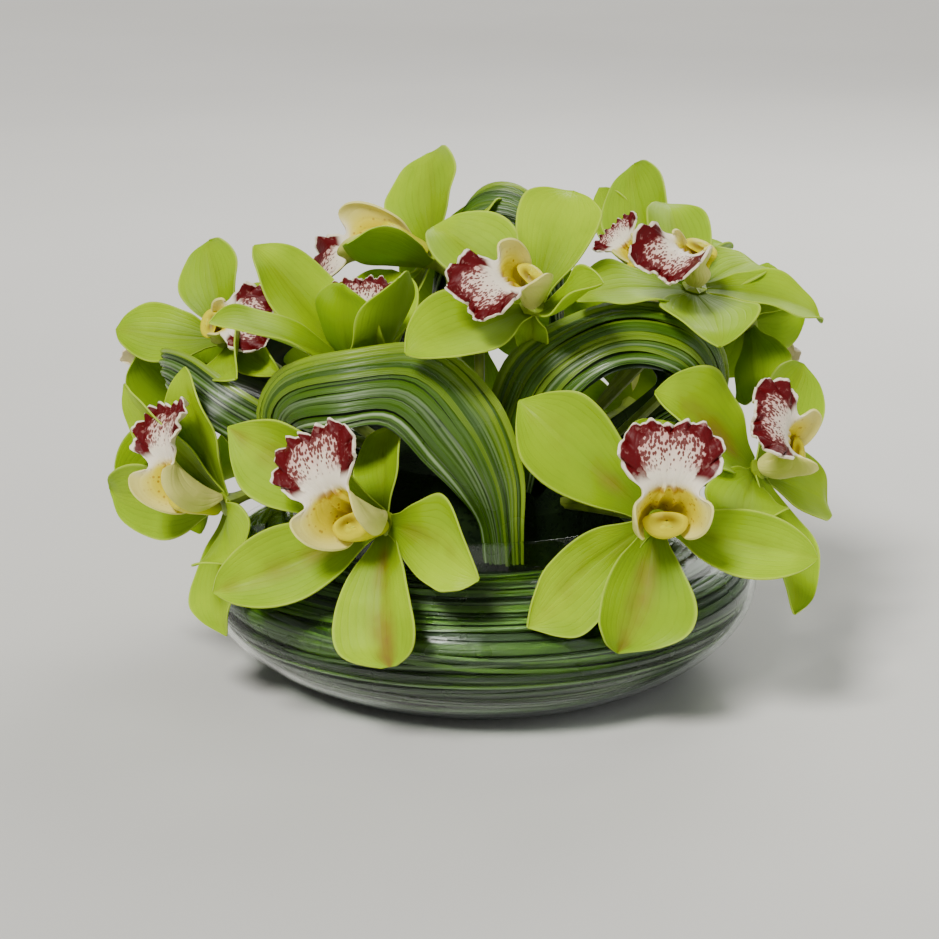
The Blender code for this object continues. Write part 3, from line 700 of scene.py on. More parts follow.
def spin_section(name, section, finish):
    """Turns a closed (radius, height) section a full turn round the upright axis."""
    bpy.ops.mesh.primitive_circle_add(vertices=len(section), radius=1, fill_type="NOTHING")
    obj = bpy.context.active_object
    obj.name = name
    for point, (radius, height) in zip(obj.data.vertices, section):
        point.co = (radius, 0, height)
    bpy.ops.object.mode_set(mode="EDIT")
    bpy.ops.mesh.select_all(action="SELECT")
    bpy.ops.mesh.spin(steps=SPIN_STEPS, angle=2 * math.pi, center=(0, 0, 0), axis=(0, 0, 1))
    close_mesh(obj, 0.01 * MM)
    obj.data.materials.append(finish)
    return obj


bowl = join_pieces("bowl_of_glass", [spin_section("bowl_of_glass", bowl_section(), GLASS_FINISH)])
seat_piece(bowl, "clear_glass", "glass_bowl")

# %% [markdown]
# ## Grass wound inside the glass
# Dozens of long blades lie against the glass in level rings, some of which sway up and down. Each is a
# closed strip that follows the inside of the bowl; the strips lie in shallow layers over a dark ring of
# painted shade, so no gap shows through to the middle.

# %% Grass wound inside the glass
COIL_STEPS = 96
COIL_LOW = 4.0 * MM
COIL_TOP = 59.5 * MM
COIL_INNER = 61 * MM
GLASS_CLEARANCE = 0.4 * MM
LAYERS = [
    # number of blades, how deep they lie behind the glass in mm, how wide against the outer ones
    (34, 2.7, 1.6),
    (34, 1.5, 1.15),
    (26, 0.35, 1.0),
]
SILVER_SHEEN_RINGS = [
    # share of the way down the glass, half width in mm and how silvery (variegation and painted sheen), of
    # the few blades that show up pale
    (0.56, 0.7, 0.35),
    (0.72, 1.7, 0.6),
    (0.79, 0.9, 0.4),
]
dice = random.Random(11)


def coil_track():
    """The section that the rings follow: from the coil's open top, over to the glass and down it."""
    against = round_profile(COIL_LOW, COIL_TOP - 2.5 * MM, 24, GLASS + GLASS_CLEARANCE)[::-1]
    top = [(radius * MM, COIL_TOP - 0.6 * MM) for radius in (66, 72, 78, 84, 89)]
    floor_lane = [(radius * MM, FLOOR + 0.8 * MM) for radius in (71, 66, 61)]
    points = [Vector((radius, 0, height)) for radius, height in top + against + floor_lane]
    lengths = [0.0]
    for first, second in zip(points, points[1:]):
        lengths.append(lengths[-1] + (second - first).length)
    return points, lengths


TRACK, TRACK_LENGTHS = coil_track()


def on_track(distance):
    """(place, way along, inward) of the section at a distance from its start."""
    distance = min(max(distance, 0.0), TRACK_LENGTHS[-1] - 1e-6)
    index = max(i for i, reached in enumerate(TRACK_LENGTHS[:-1]) if reached <= distance)
    first, second = TRACK[index], TRACK[index + 1]
    way = (second - first).normalized()
    place = first.lerp(second, (distance - TRACK_LENGTHS[index]) / (second - first).length)
    return place, way, Vector((way.z, 0, -way.x))


def ring_blade(index, middle, half_width, depth, tone, streak):
    sway = dice.choice((0.4, 0.8, 1.5, 2.5, 5.0)) * MM
    phase = dice.uniform(0, 2 * math.pi)
    second_phase = dice.uniform(0, 2 * math.pi)

    def place(u, v):
        turn = 2 * math.pi * u
        drift = sway * math.sin(turn + phase) + 0.35 * sway * math.sin(3 * turn + second_phase)
        spot, way, inward = on_track(middle + drift)
        rounded = 0.25 * half_width * v * v
        local = spot + way * half_width * v + inward * (depth + rounded)
        return Vector((local.x * math.sin(turn), -local.x * math.cos(turn), local.z))

    return bent_sheet(f"ring_{index}", COIL_STEPS, 2, place, 0.4 * MM, GRASS_FINISH, tone=tone, streak=streak)


def make_coil():
    whole = TRACK_LENGTHS[-1]
    rings = []
    for count, depth, breadth in LAYERS:
        for step in range(count):
            middle = whole * (step + dice.uniform(0.1, 0.9)) / count
            half_width = dice.uniform(0.5, 1.25) * MM * breadth
            # painted shade: blades lying further down the glass get a darker tone
            tone = dice.choice((0.05, 0.1, 0.15, 0.2, 0.3, 0.4, 0.5, 0.65)) * (0.9 - 0.55 * step / count)
            streak = dice.choice((0.0, 0.0, 0.0, 0.0, 0.08, 0.25))
            rings.append(ring_blade(len(rings), middle, half_width, depth * MM, tone, streak))
    for share, half_width, silver_and_sheen in SILVER_SHEEN_RINGS:
        rings.append(ring_blade(len(rings), whole * share, half_width * MM, 0.2 * MM, 0.4, silver_and_sheen))
    return rings


def coil_backing():
    outer = round_profile(COIL_LOW + 1 * MM, COIL_TOP - 4 * MM, 16, GLASS + GLASS_CLEARANCE + 3.4 * MM)
    section = [(COIL_INNER, COIL_LOW)] + outer + [(COIL_INNER, COIL_TOP - 4 * MM)]
    backing = spin_section("coil_backing", section, GRASS_FINISH)
    # painted shade: the ring takes the darkest grass tone
    set_attribute(backing, "tone", 0.05)
    set_attribute(backing, "streak", 0.0)
    return backing


coil = join_pieces("coil_of_grass", make_coil() + [coil_backing()])
seat_piece(coil, "grass_blades", "grass_coil")

# %% [markdown]
# ## Foam
# The foam that holds the stalks is mostly hidden, and its plain solid already has its shape and its holes,
# so that one stays and only gets the finish.

# %% Foam
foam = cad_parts["foam_core"]
foam.data.materials.clear()
foam.data.materials.append(FOAM_FINISH)

# %% [markdown]
# ## Grass loops
# Each loop is a bunch of some twenty blades laid side by side, bent over and pushed into the foam at its
# ends; the front loop's foot runs down between foam and glass. A curve could carry one flat bunch, but
# separate blades catch the light one by one, so every blade is its own bent strip. The bunch's path is
# given by stations: the middle of the bunch, and the step from there to its upper edge.

# %% Where the loops run
LOOPS = {
    # number of blades, how light (partly painted light), how silvery (variegation and painted sheen), then x,
    # y, z of the middle and of the step, in mm
    "front": (24, 0.34, 0.0, [
        (9, -59, 62, 8, -1, 0), (8, -63, 78, 9, -2, 0), (3, -65, 96, 13, 1, 5),
        (-8, -64, 115, 14, 5, 12), (-27, -62, 132, 10, 12, 13), (-52, -64, 131, 3, 12, 13),
        (-71, -55, 125, -6, 12, 9), (-77, -47, 113, -9, 8, -1), (-64, -42, 102, -4, 8, -8),
        (-40, -36, 84, -1, 6, -6),
    ]),
    # painted light: the right loop, which lies in shade, is given a lighter tone
    "right": (24, 0.56, 0.0, [
        (9, -40, 84, -11, 4, 1), (13, -46, 108, -12, 5, 3), (24, -43, 131, -12, 9, 8),
        (45, -39, 144, -4, 13, 10), (64, -35, 146, 2, 14, 10), (82, -31, 139, 7, 11, 8),
        (89, -26, 122, 8, 8, 0), (74, -20, 106, 5, 8, -6), (44, -10, 84, 3, 6, -6),
    ]),
    "left": (15, 0.2, 0.3, [
        (-48, -4, 84, 2, -5, 3), (-70, -20, 100, 4, -2, 6), (-87, -32, 108, 5, 2, 7),
        (-103, -30, 116, 5, 4, 7), (-117, -18, 124, 3, 5, 7), (-125, 0, 125, -2, 6, 6),
        (-116, 18, 118, -5, 5, 4), (-90, 26, 107, -4, 6, 5), (-46, 24, 84, -2, 6, 3),
    ]),
    "top": (22, 0.3, -0.3, [
        (-10, 34, 86, 4, 7, 0), (-15, 42, 120, 3, 11, 2), (-13, 48, 155, 3, 11, 8),
        (-2, 48, 174, 3, 11, 12), (14, 44, 176, 3, 11, 12), (27, 38, 164, 3, 11, 8),
        (30, 36, 135, 0, 11, 2), (25, 32, 105, 0, 10, 0), (22, 30, 86, 0, 8, 0),
    ]),
    "back_right": (18, 0.36, 0.0, [
        (18, 46, 84, -7, 3, 0), (28, 66, 104, -8, 4, 3), (42, 72, 118, -6, -8, 8),
        (60, 66, 122, 2, -11, 8), (76, 56, 117, 8, -8, 5), (82, 44, 106, 8, -6, -1),
        (72, 32, 98, 5, -7, -4), (46, 22, 84, 3, -6, -3),
    ]),
    "back_left": (18, 0.36, 0.0, [
        (-18, 46, 84, 7, 3, 0), (-26, 64, 106, 8, 4, 3), (-38, 72, 124, 6, -8, 8),
        (-60, 68, 130, -2, -11, 8), (-84, 56, 124, -8, -8, 5), (-90, 48, 112, -8, -6, -1),
        (-72, 46, 104, -5, -7, -4), (-30, 36, 86, -3, -6, -3),
    ]),
}
BLADE_STEPS = 52
CROWN = 0.25


# %% Blades of a loop
def bunch_frames(stations, steps):
    """(middle, half width, outward normal) along a bunch."""
    middles = smooth_path([Vector(station[:3]) * MM for station in stations], steps)
    halves = smooth_path([Vector(station[3:]) * MM for station in stations], steps)
    centre = sum(middles, Vector()) / len(middles)
    frames, outward = [], 0.0
    for index, (middle, half) in enumerate(zip(middles, halves)):
        ahead = middles[min(index + 1, steps)] - middles[max(index - 1, 0)]
        normal = half.cross(ahead).normalized()
        outward += normal.dot(middle - centre)
        frames.append((middle, half, normal))
    return frames if outward > 0 else [(middle, half, -normal) for middle, half, normal in frames]


def loop_blade(name, frames, order, count, tone, streak):
    base = -1 + 2 * (order + 0.5) / count
    drift = dice.uniform(-0.10, 0.10)
    phase = dice.uniform(0, 2 * math.pi)
    width = dice.uniform(0.8, 1.35)
    rise = dice.choice((0.0, 0.5, 0.9, 1.4)) * MM

    def place(u, v):
        middle, half, normal = frame_at(frames, u)
        spot = base * 0.96 + drift * math.sin(2.2 * math.pi * u + phase) * math.sin(math.pi * u)
        reach = half.length / count * 1.6 * width * (0.75 + 0.25 * math.sin(math.pi * u))
        crown = half.length * CROWN * (1 - spot * spot)
        fold = (0.45 * (1 - abs(v)) - 0.25) * reach
        lifted = normal * (crown + rise + fold)
        return middle + half * spot + half.normalized() * reach * v + lifted

    return bent_sheet(name, BLADE_STEPS, 4, place, 0.35 * MM, GRASS_FINISH, tone=tone, streak=streak)


def loop_shade_sheet(name, frames):
    """A dark sheet of painted shade just under the blades, so that no gap between them shows through."""
    def place(u, v):
        middle, half, normal = frame_at(frames, u)
        return middle + half * v * 0.94 + normal * (half.length * CROWN * (1 - v * v) - 0.7 * MM)

    return bent_sheet(name + "_backing", BLADE_STEPS, 8, place, 0.4 * MM, GRASS_FINISH, tone=0.1, streak=0.0)


def make_loop(name, count, tone_and_painted_light, silver_and_sheen, stations):
    frames = bunch_frames(stations, BLADE_STEPS)
    blades = []
    for order in range(count):
        outer = order / (count - 1)
        tone = min(max(tone_and_painted_light + 0.25 * outer + dice.uniform(-0.34, 0.32), 0.0), 1.0)
        streak = max(0.0, dice.uniform(-0.6, 0.7) * (1.15 - outer) + silver_and_sheen)
        # the first two blades of a bunch get a strong silvery streak, partly painted sheen
        if order < 2:
            tone, streak = 0.5, 0.95
        elif order == count - 1:
            tone = 1.0
        blades.append(loop_blade(f"{name}_{order}", frames, order, count, tone, streak))
    loop = join_pieces("loop_" + name, blades + [loop_shade_sheet(name, frames)])
    seat_piece(loop, "grass_blades", "grass_loop_" + name)


for loop_name, loop_values in LOOPS.items():
    make_loop(loop_name, *loop_values)

# %% [markdown]
# ## One cymbidium bloom
# Five tepals spread round a short hub: a dorsal sepal opposite the lip, two petals beside it and two sepals
# beside the lip. Each is set by the clock angle where it stands, its length and width in millimetres, how
# far it leans forward and how that lean changes by its tip. Then there is what makes no two alike: the form
# of its outline, how far its tip is drawn aside, a wider shoulder on one side, a fold along its middle and
# a twist.

# %% Measures of a tepal
OUTLINE = [
    # share of length, then half width as a share of the greatest: oval, spade, square
    (0.00, 0.22, 0.22, 0.22),
    (0.12, 0.36, 0.34, 0.32),
    (0.30, 0.76, 0.66, 0.58),
    (0.48, 0.98, 0.91, 0.80),
    (0.62, 1.00, 1.00, 0.94),
    (0.76, 0.87, 0.93, 1.00),
    (0.88, 0.60, 0.58, 0.88),
    (0.95, 0.34, 0.27, 0.60),
    (1.00, 0.03, 0.02, 0.16),
]
FORMS = {"oval": 1, "spade": 2, "square": 3}
TEPAL_NAMES = ("dorsal", "petal_a", "petal_b", "sepal_a", "sepal_b")
PETAL_TURN = 72
ROOT = 3 * MM
HUB_FRONT = 3 * MM
TEPAL_THICKNESS = 0.65 * MM
TEPAL_ALONG = 38
TEPAL_ACROSS = 22
RECURVE = 2.2 * MM
KEEL = 0.7 * MM
SWELL = 1.5 * MM
SWELLS_PER_METRE = 27


class Tepal:
    """at: clock angle as seen from in front. length and width in mm. lift: degrees forward at its root.
    curl: how many more by its tip. cup, fold and twist are degrees, lean is mm, shoulder and blush shares."""

    def __init__(self, at, length, width, lift, curl, **more):
        self.at, self.length, self.width, self.lift, self.curl = at, length, width, lift, curl
        self.form, self.cup, self.blush = "oval", 25, 0.12
        self.lean = self.shoulder = self.fold = self.twist = 0
        vars(self).update(more)


# %% The flower's own frame
class Bloom:
    """hub: middle of the flower in mm. face: where it looks, as (degrees to the right, degrees up).
    lip: clock angle of the lip as seen from in front. seat: where its stalk enters the foam, (x, y) in mm.
    lip_size, nod and swing: the size of lip and column, and how far they are tipped to the lip's side or
    turned round the flower's axis, in degrees. ears: the breadth of the lip's side lobes. trough: how far the
    sides of its front lobe rise, in degrees."""

    def __init__(self, name, hub, face, lip, seat, tepals, lip_size=1.0, nod=0, swing=0, ears=1.0, trough=8):
        self.name = name
        self.lip_size = lip_size
        self.ears = ears
        self.trough = trough
        swing, nod, roll = (math.radians(value) for value in (swing, nod, lip + 180))
        self.lip_turn = Matrix.Rotation(swing, 3, "Z") @ Matrix.Rotation(nod, 3, "X")
        self.hub = Vector(hub) * MM
        azimuth, height = (math.radians(value) for value in face)
        self.front = Vector((math.sin(azimuth) * math.cos(height), -math.cos(azimuth) * math.cos(height),
                             math.sin(height)))
        right = Vector((math.cos(azimuth), math.sin(azimuth), 0))
        top = self.front.cross(right)
        self.up = top * math.cos(roll) + right * math.sin(roll)
        self.side = right * math.cos(roll) - top * math.sin(roll)
        self.seat = foam_seat(*seat)
        self.tepals = tepals
        for tepal in tepals:
            tepal.turn = tepal.at - (lip + 180)

    def world(self, local):
        return self.hub + self.side * local.x + self.up * local.y + self.front * local.z

    def lip_world(self, local):
        """The same for a point of the lip or the column, which this flower may hold smaller or aslant."""
        pivot = Vector((0, 0, HUB_FRONT))
        return self.world(pivot + self.lip_turn @ ((local - pivot) * self.lip_size))


FOAM_TOP_STATIONS = [(0.0, 98.0), (25.65, 96.0), (45.6, 91.0), (57.0, 78.0)]


def foam_seat(across, back):
    """A point just above the foam's domed top."""
    radius = math.hypot(across, back)
    for (near, high), (far, low) in zip(FOAM_TOP_STATIONS, FOAM_TOP_STATIONS[1:]):
        if radius <= far:
            return Vector((across, back, high + (low - high) * (radius - near) / (far - near) + 1.5)) * MM
    return Vector((across, back, FOAM_TOP_STATIONS[-1][1])) * MM


def tepal_frames(tepal, steps):
    """(point, across, normal) along the middle of a tepal, in the flower's own frame."""
    turn = math.radians(tepal.turn)
    outward = Vector((math.sin(turn), math.cos(turn), 0))
    sideways = Vector((math.cos(turn), -math.sin(turn), 0))
    forward = Vector((0, 0, 1))
    fine = steps * 4
    petal = abs(abs(tepal.turn) - PETAL_TURN) < 30
    point = outward * ROOT + forward * (0.6 * MM if petal else -1.0 * MM)
    frames = []
    for index in range(fine + 1):
        lift = math.radians(tepal.lift + tepal.curl * index / fine)
        along = outward * math.cos(lift) + forward * math.sin(lift)
        normal = forward * math.cos(lift) - outward * math.sin(lift)
        if index % 4 == 0:
            frames.append((point.copy(), sideways, normal))
        point += along * (tepal.length * MM / fine)
    return frames


# %% Bending a tepal
def make_tepal(bloom, name, tepal):
    frames = tepal_frames(tepal, TEPAL_ALONG)
    cup = math.radians(tepal.cup)
    column = FORMS[tepal.form]
    phases = (dice.uniform(0, 1), dice.uniform(0, 1))
    ripples = dice.uniform(1.3, 2.2)
    ruffle = dice.uniform(0.6, 1.4) * MM
    sweep = dice.uniform(-1.5, 1.5) * MM
    twist = tepal.twist + dice.uniform(-8, 8)
    fold = math.tan(math.radians(tepal.fold + dice.uniform(0, 5)))

    def place(u, v):
        point, across, normal = frame_at(frames, u)
        tip = smooth_step(0.8, 1.0, u)
        shoulder = 1 + tepal.shoulder * v * smooth_step(0.25, 0.7, u) * (1 - 0.7 * tip)
        half = tepal.width * MM / 2 * between(OUTLINE, u, column) * shoulder
        sideways, forward = arc_across(half, cup * (0.7 + 0.6 * u), v)
        forward += half * fold * (math.sqrt(v * v + 0.012) - 0.11) * smooth_step(0.0, 0.3, u)
        keel = -KEEL * math.exp(-(v / 0.11) ** 2) * math.sin(math.pi * min(u * 1.05, 1.0))
        phase = phases[0] if v > 0 else phases[1]
        edge = ruffle * abs(v) ** 2.4 * math.sin(2 * math.pi * (ripples * u + phase))
        edge *= smooth_step(0.1, 0.4, u) * (1 - 0.6 * tip)
        offset = Vector((sideways, 0, forward + keel + edge - RECURVE * tip ** 2))
        turn = math.radians(twist * u)
        aside = offset.x * math.cos(turn) - offset.z * math.sin(turn)
        deep = offset.x * math.sin(turn) + offset.z * math.cos(turn)
        aside += sweep * math.sin(math.pi * u) + tepal.lean * MM * u ** 2.5
        spot = bloom.world(point + across * aside + normal * deep)
        return spot + bloom.front * (noise.noise(spot * SWELLS_PER_METRE) * SWELL * smooth_step(0.05, 0.5, u))

    facing = bloom.front if abs(tepal.lift) < 60 else bloom.world(frames[TEPAL_ALONG // 2][2]) - bloom.hub
    tone = min(max(dice.gauss(0.28, 0.2), 0.0), 1.0)
    return bent_sheet(f"{bloom.name}_{name}", TEPAL_ALONG, TEPAL_ACROSS, place, TEPAL_THICKNESS, TEPAL_FINISH,
                      facing, tone=tone, blush=tepal.blush)


# %% [markdown]
# ## Hub, ovary and stalk
# Behind the tepals the flower narrows into a ribbed ovary and then the stalk, which bends round into the
# foam. One rod does for all three: its radius shrinks along the path, and the corners of the path are
# rounded first.

# %% Hub, ovary and stalk
HUB_BACK = -5 * MM
OVARY_BACK = -14 * MM
SEAT_DEPTH = 8.5 * MM
FOAM_HEART = Vector((0, 0, 62 * MM))
STALK_RADII = [
    # share of the length, radius in mm
    (0.0, 0.2), (0.03, 4.4), (0.10, 4.6), (0.22, 3.3), (0.34, 2.5), (0.6, 2.3), (0.985, 2.2), (1.0, 0.1)]


def rounded_path(points, rounds=3):
    """Cuts each corner of a path, again and again, so that a sharp bend becomes an easy one."""
    for _ in range(rounds):
        cut = [points[0]]
        for first, second in zip(points, points[1:]):
            cut += [first.lerp(second, 0.25), first.lerp(second, 0.75)]
        points = cut + [points[-1]]
    return points


def make_stalk(bloom):
    inward = (FOAM_HEART - bloom.seat).normalized()
    behind = [bloom.world(Vector((0, 0, depth))) for depth in (HUB_FRONT * 0.4, HUB_BACK, OVARY_BACK)]
    path = rounded_path(behind + [bloom.seat, bloom.seat + inward * SEAT_DEPTH])
    print(bloom.name, "stalk", round(sum((b - a).length for a, b in zip(path, path[1:])) / MM), "mm")
    frames = []
    for index, point in enumerate(path):
        ahead = (path[min(index + 1, len(path) - 1)] - path[max(index - 1, 0)]).normalized()
        side = ahead.orthogonal().normalized() if not frames else (
            frames[-1][1] - ahead * frames[-1][1].dot(ahead)).normalized()
        frames.append((point, side, ahead.cross(side)))

    def place(u, angle):
        point, side, other = frame_at(frames, u)
        radius = between(STALK_RADII, u, 1) * MM
        radius *= 1 + 0.07 * math.cos(6 * angle) * smooth_step(0.5, 0.1, u)
        return point + side * radius * math.cos(angle) + other * radius * math.sin(angle)

    return wrapped_rod(bloom.name + "_stalk", 40, 18, place, STALK_FINISH)


def make_tepals(bloom):
    pieces = [make_tepal(bloom, name, tepal) for name, tepal in zip(TEPAL_NAMES, bloom.tepals)]
    whole = join_pieces(bloom.name + "_tepals", pieces + [make_stalk(bloom)])
    seat_piece(whole, "tepals", f"bloom_{bloom.name}_tepals")


# %% [markdown]
# ## The lip
# The lip starts as a trough under the column, opens in two rounded side lobes, narrows to a waist and turns
# over in a broad front lobe whose margin is frilled. One grid makes it: stations give the half width, how
# far it is cupped and which way it heads, and waves that grow towards the margin make the frill. Two soft
# keels run down the throat.

# %% The lip
LIP_STATIONS = [
    # share, half width mm, cup degrees, angle from straight ahead towards the lip side
    (0.00, 5.0, 60, 10),
    (0.12, 14.0, 110, 16),
    (0.26, 23.0, 128, 22),
    (0.38, 23.5, 118, 28),
    (0.47, 16.0, 82, 38),
    (0.54, 11.8, 45, 50),
    (0.60, 14.8, 18, 67),
    (0.68, 18.6, 0, 81),
    (0.80, 19.6, -14, 96),
    (0.91, 17.8, -20, 115),
    (1.00, 14.0, -20, 132),
]
LIP_LENGTH = 54 * MM
LIP_THICKNESS = 0.9 * MM
LIP_START = Vector((0, -4.8 * MM, HUB_FRONT + 0.4 * MM + LIP_THICKNESS / 2))
LIP_NOTCH = 0.05
LIP_CORNER = 0.05
LOBE_REACH = 0.11
LOBE_FLARE = 3.5 * MM
THROAT_KEEL = 1.8 * MM
LIP_GROOVE = 0.7 * MM
LIP_ALONG = 64
LIP_ACROSS = 48


def lip_frames(steps):
    """(point, normal) along the middle of the lip, in the flower's own frame."""
    fine = steps * 4
    point = LIP_START.copy()
    frames = []
    for index in range(fine + 1):
        angle = math.radians(between(LIP_STATIONS, index / fine, 3))
        if index % 4 == 0:
            frames.append((point.copy(), Vector((0, math.cos(angle), math.sin(angle)))))
        point += Vector((0, -math.sin(angle), math.cos(angle))) * (LIP_LENGTH / fine)
    return frames


LIP_FRAMES = lip_frames(LIP_ALONG)


def make_lip(bloom):
    phases = (dice.uniform(0, 1), dice.uniform(0, 1))
    frill = dice.uniform(1.2, 1.7) * MM
    count = dice.uniform(2.3, 2.9)

    def place(u, v):
        trim = LIP_NOTCH * (1 - abs(v)) ** 2 + LIP_CORNER * v ** 4
        reach = u * (1 - trim * u ** 2)
        # the free ends of the two side lobes point forwards
        reach += LOBE_REACH * abs(v) ** 3 * smooth_step(0.16, 0.34, u) * smooth_step(0.54, 0.42, u)
        point, normal = frame_at(LIP_FRAMES, reach)
        half = between(LIP_STATIONS, u, 1) * MM
        half *= 1 + (bloom.ears - 1) * smooth_step(0.05, 0.2, u) * smooth_step(0.56, 0.44, u)
        lobe = smooth_step(0.54, 0.70, u)
        cup = math.radians(between(LIP_STATIONS, u, 2) + bloom.trough * lobe)
        rim = max(smooth_step(0.5, 1.0, abs(v)), smooth_step(0.82, 1.0, u))
        round_edge = (1 - u) / 0.45 - (1 - abs(v)) * 0.9
        phase = phases[0] if v > 0 else phases[1]
        wave = math.sin(2 * math.pi * (count * round_edge + phase)) + 0.45 * math.sin(
            2 * math.pi * (2.3 * count * round_edge + 2 * phase))
        half *= 1 + 0.035 * lobe * rim * wave
        sideways, forward = arc_across(half, cup, v)
        flare = smooth_step(0.55, 1.0, abs(v)) * smooth_step(0.2, 0.34, u) * smooth_step(0.52, 0.42, u)
        sideways += math.copysign(LOBE_FLARE * flare, v)
        forward += frill * lobe * rim * rim * wave
        forward += 0.5 * MM * rim * smooth_step(0.5, 0.2, u) * math.sin(9 * u + 6 * phase)
        keel = math.exp(-((abs(v) - 0.13) / 0.05) ** 2) * smooth_step(0.08, 0.2, u)
        forward += THROAT_KEEL * keel * smooth_step(0.56, 0.48, u)
        forward -= LIP_GROOVE * math.exp(-(v / 0.07) ** 2) * lobe
        return bloom.lip_world(point + Vector((sideways, 0, 0)) + normal * forward)

    facing = bloom.lip_world(LIP_FRAMES[LIP_ALONG // 2][1]) - bloom.lip_world(Vector((0, 0, 0)))
    lip = bent_sheet(bloom.name + "_lip", LIP_ALONG, LIP_ACROSS, place, LIP_THICKNESS, LIP_FINISH, facing)
    seat_piece(join_pieces(bloom.name + "_lip", [lip]), "lip", f"bloom_{bloom.name}_lip")


# %% [markdown]
# ## The column
# The column is a club that arches over the lip. Its underside is hollow, with a thin wing each side, and a
# separate cap sits on its end. The club is a wrapped rod whose section is pressed in on the lip side; the
# cap is a small ball pushed into shape.

# %% The column
COLUMN_STATIONS = [
    # share, up mm, ahead mm, radius mm
    (0.00, 1.4, 0.0, 0.3),
    (0.03, 1.4, 0.3, 3.2),
    (0.30, 2.0, 6.8, 3.6),
    (0.60, 1.6, 13.2, 4.8),
    (0.82, 0.2, 17.8, 5.6),
    (0.95, -1.2, 20.6, 5.2),
    (1.00, -1.8, 21.4, 0.3),
]
CAP_SIZE = Vector((3.4, 2.0, 1.2)) * MM
CAP_PLACE = Vector((0, 0.6 * MM, HUB_FRONT + 20.6 * MM))


def make_column(bloom):
    def place(u, angle):
        up, ahead, radius = (between(COLUMN_STATIONS, u, column) * MM for column in (1, 2, 3))
        radius = max(radius, 0.02 * MM)
        outer = smooth_step(0.5, 0.9, u)
        hollow = math.exp(-(angle / 0.8) ** 2) * smooth_step(0.1, 0.35, u) * smooth_step(0.99, 0.85, u)
        wing = math.exp(-((abs(angle) - 1.15) / 0.35) ** 2) * smooth_step(0.2, 0.6, u)
        reach = radius * (1 - 0.55 * hollow + 0.16 * wing * smooth_step(1.0, 0.85, u))
        side = reach * math.sin(angle) * (1.12 + 0.3 * outer)
        rise = -reach * math.cos(angle) * (0.85 + 0.05 * outer)
        return bloom.lip_world(Vector((side, up + rise, HUB_FRONT + 0.4 * MM + ahead)))

    club = wrapped_rod(bloom.name + "_club", 30, 28, place, COLUMN_FINISH)
    bpy.ops.mesh.primitive_uv_sphere_add(segments=20, ring_count=12, radius=1, location=(0, 0, 0))
    cap = bpy.context.active_object
    for point in cap.data.vertices:
        x, y, z = point.co
        groove = 1 - 0.22 * math.exp(-(x / 0.22) ** 2) * smooth_step(-0.1, 0.6, z)
        ball = Vector((x * CAP_SIZE.x, y * CAP_SIZE.y * groove, z * CAP_SIZE.z * groove))
        point.co = bloom.lip_world(CAP_PLACE + ball)
    cap.data.materials.append(COLUMN_FINISH)
    column = join_pieces(bloom.name + "_column", [club, cap])
    seat_piece(column, "column", f"bloom_{bloom.name}_column")


# %% [markdown]
# ## All the blooms
# Each bloom is set one by one: where its hub is, where it looks, which way its lip points, and how its tepals
# stand, in the order dorsal sepal, two petals, two sepals. Those at the back are turned away from the front
# view and are plainer.

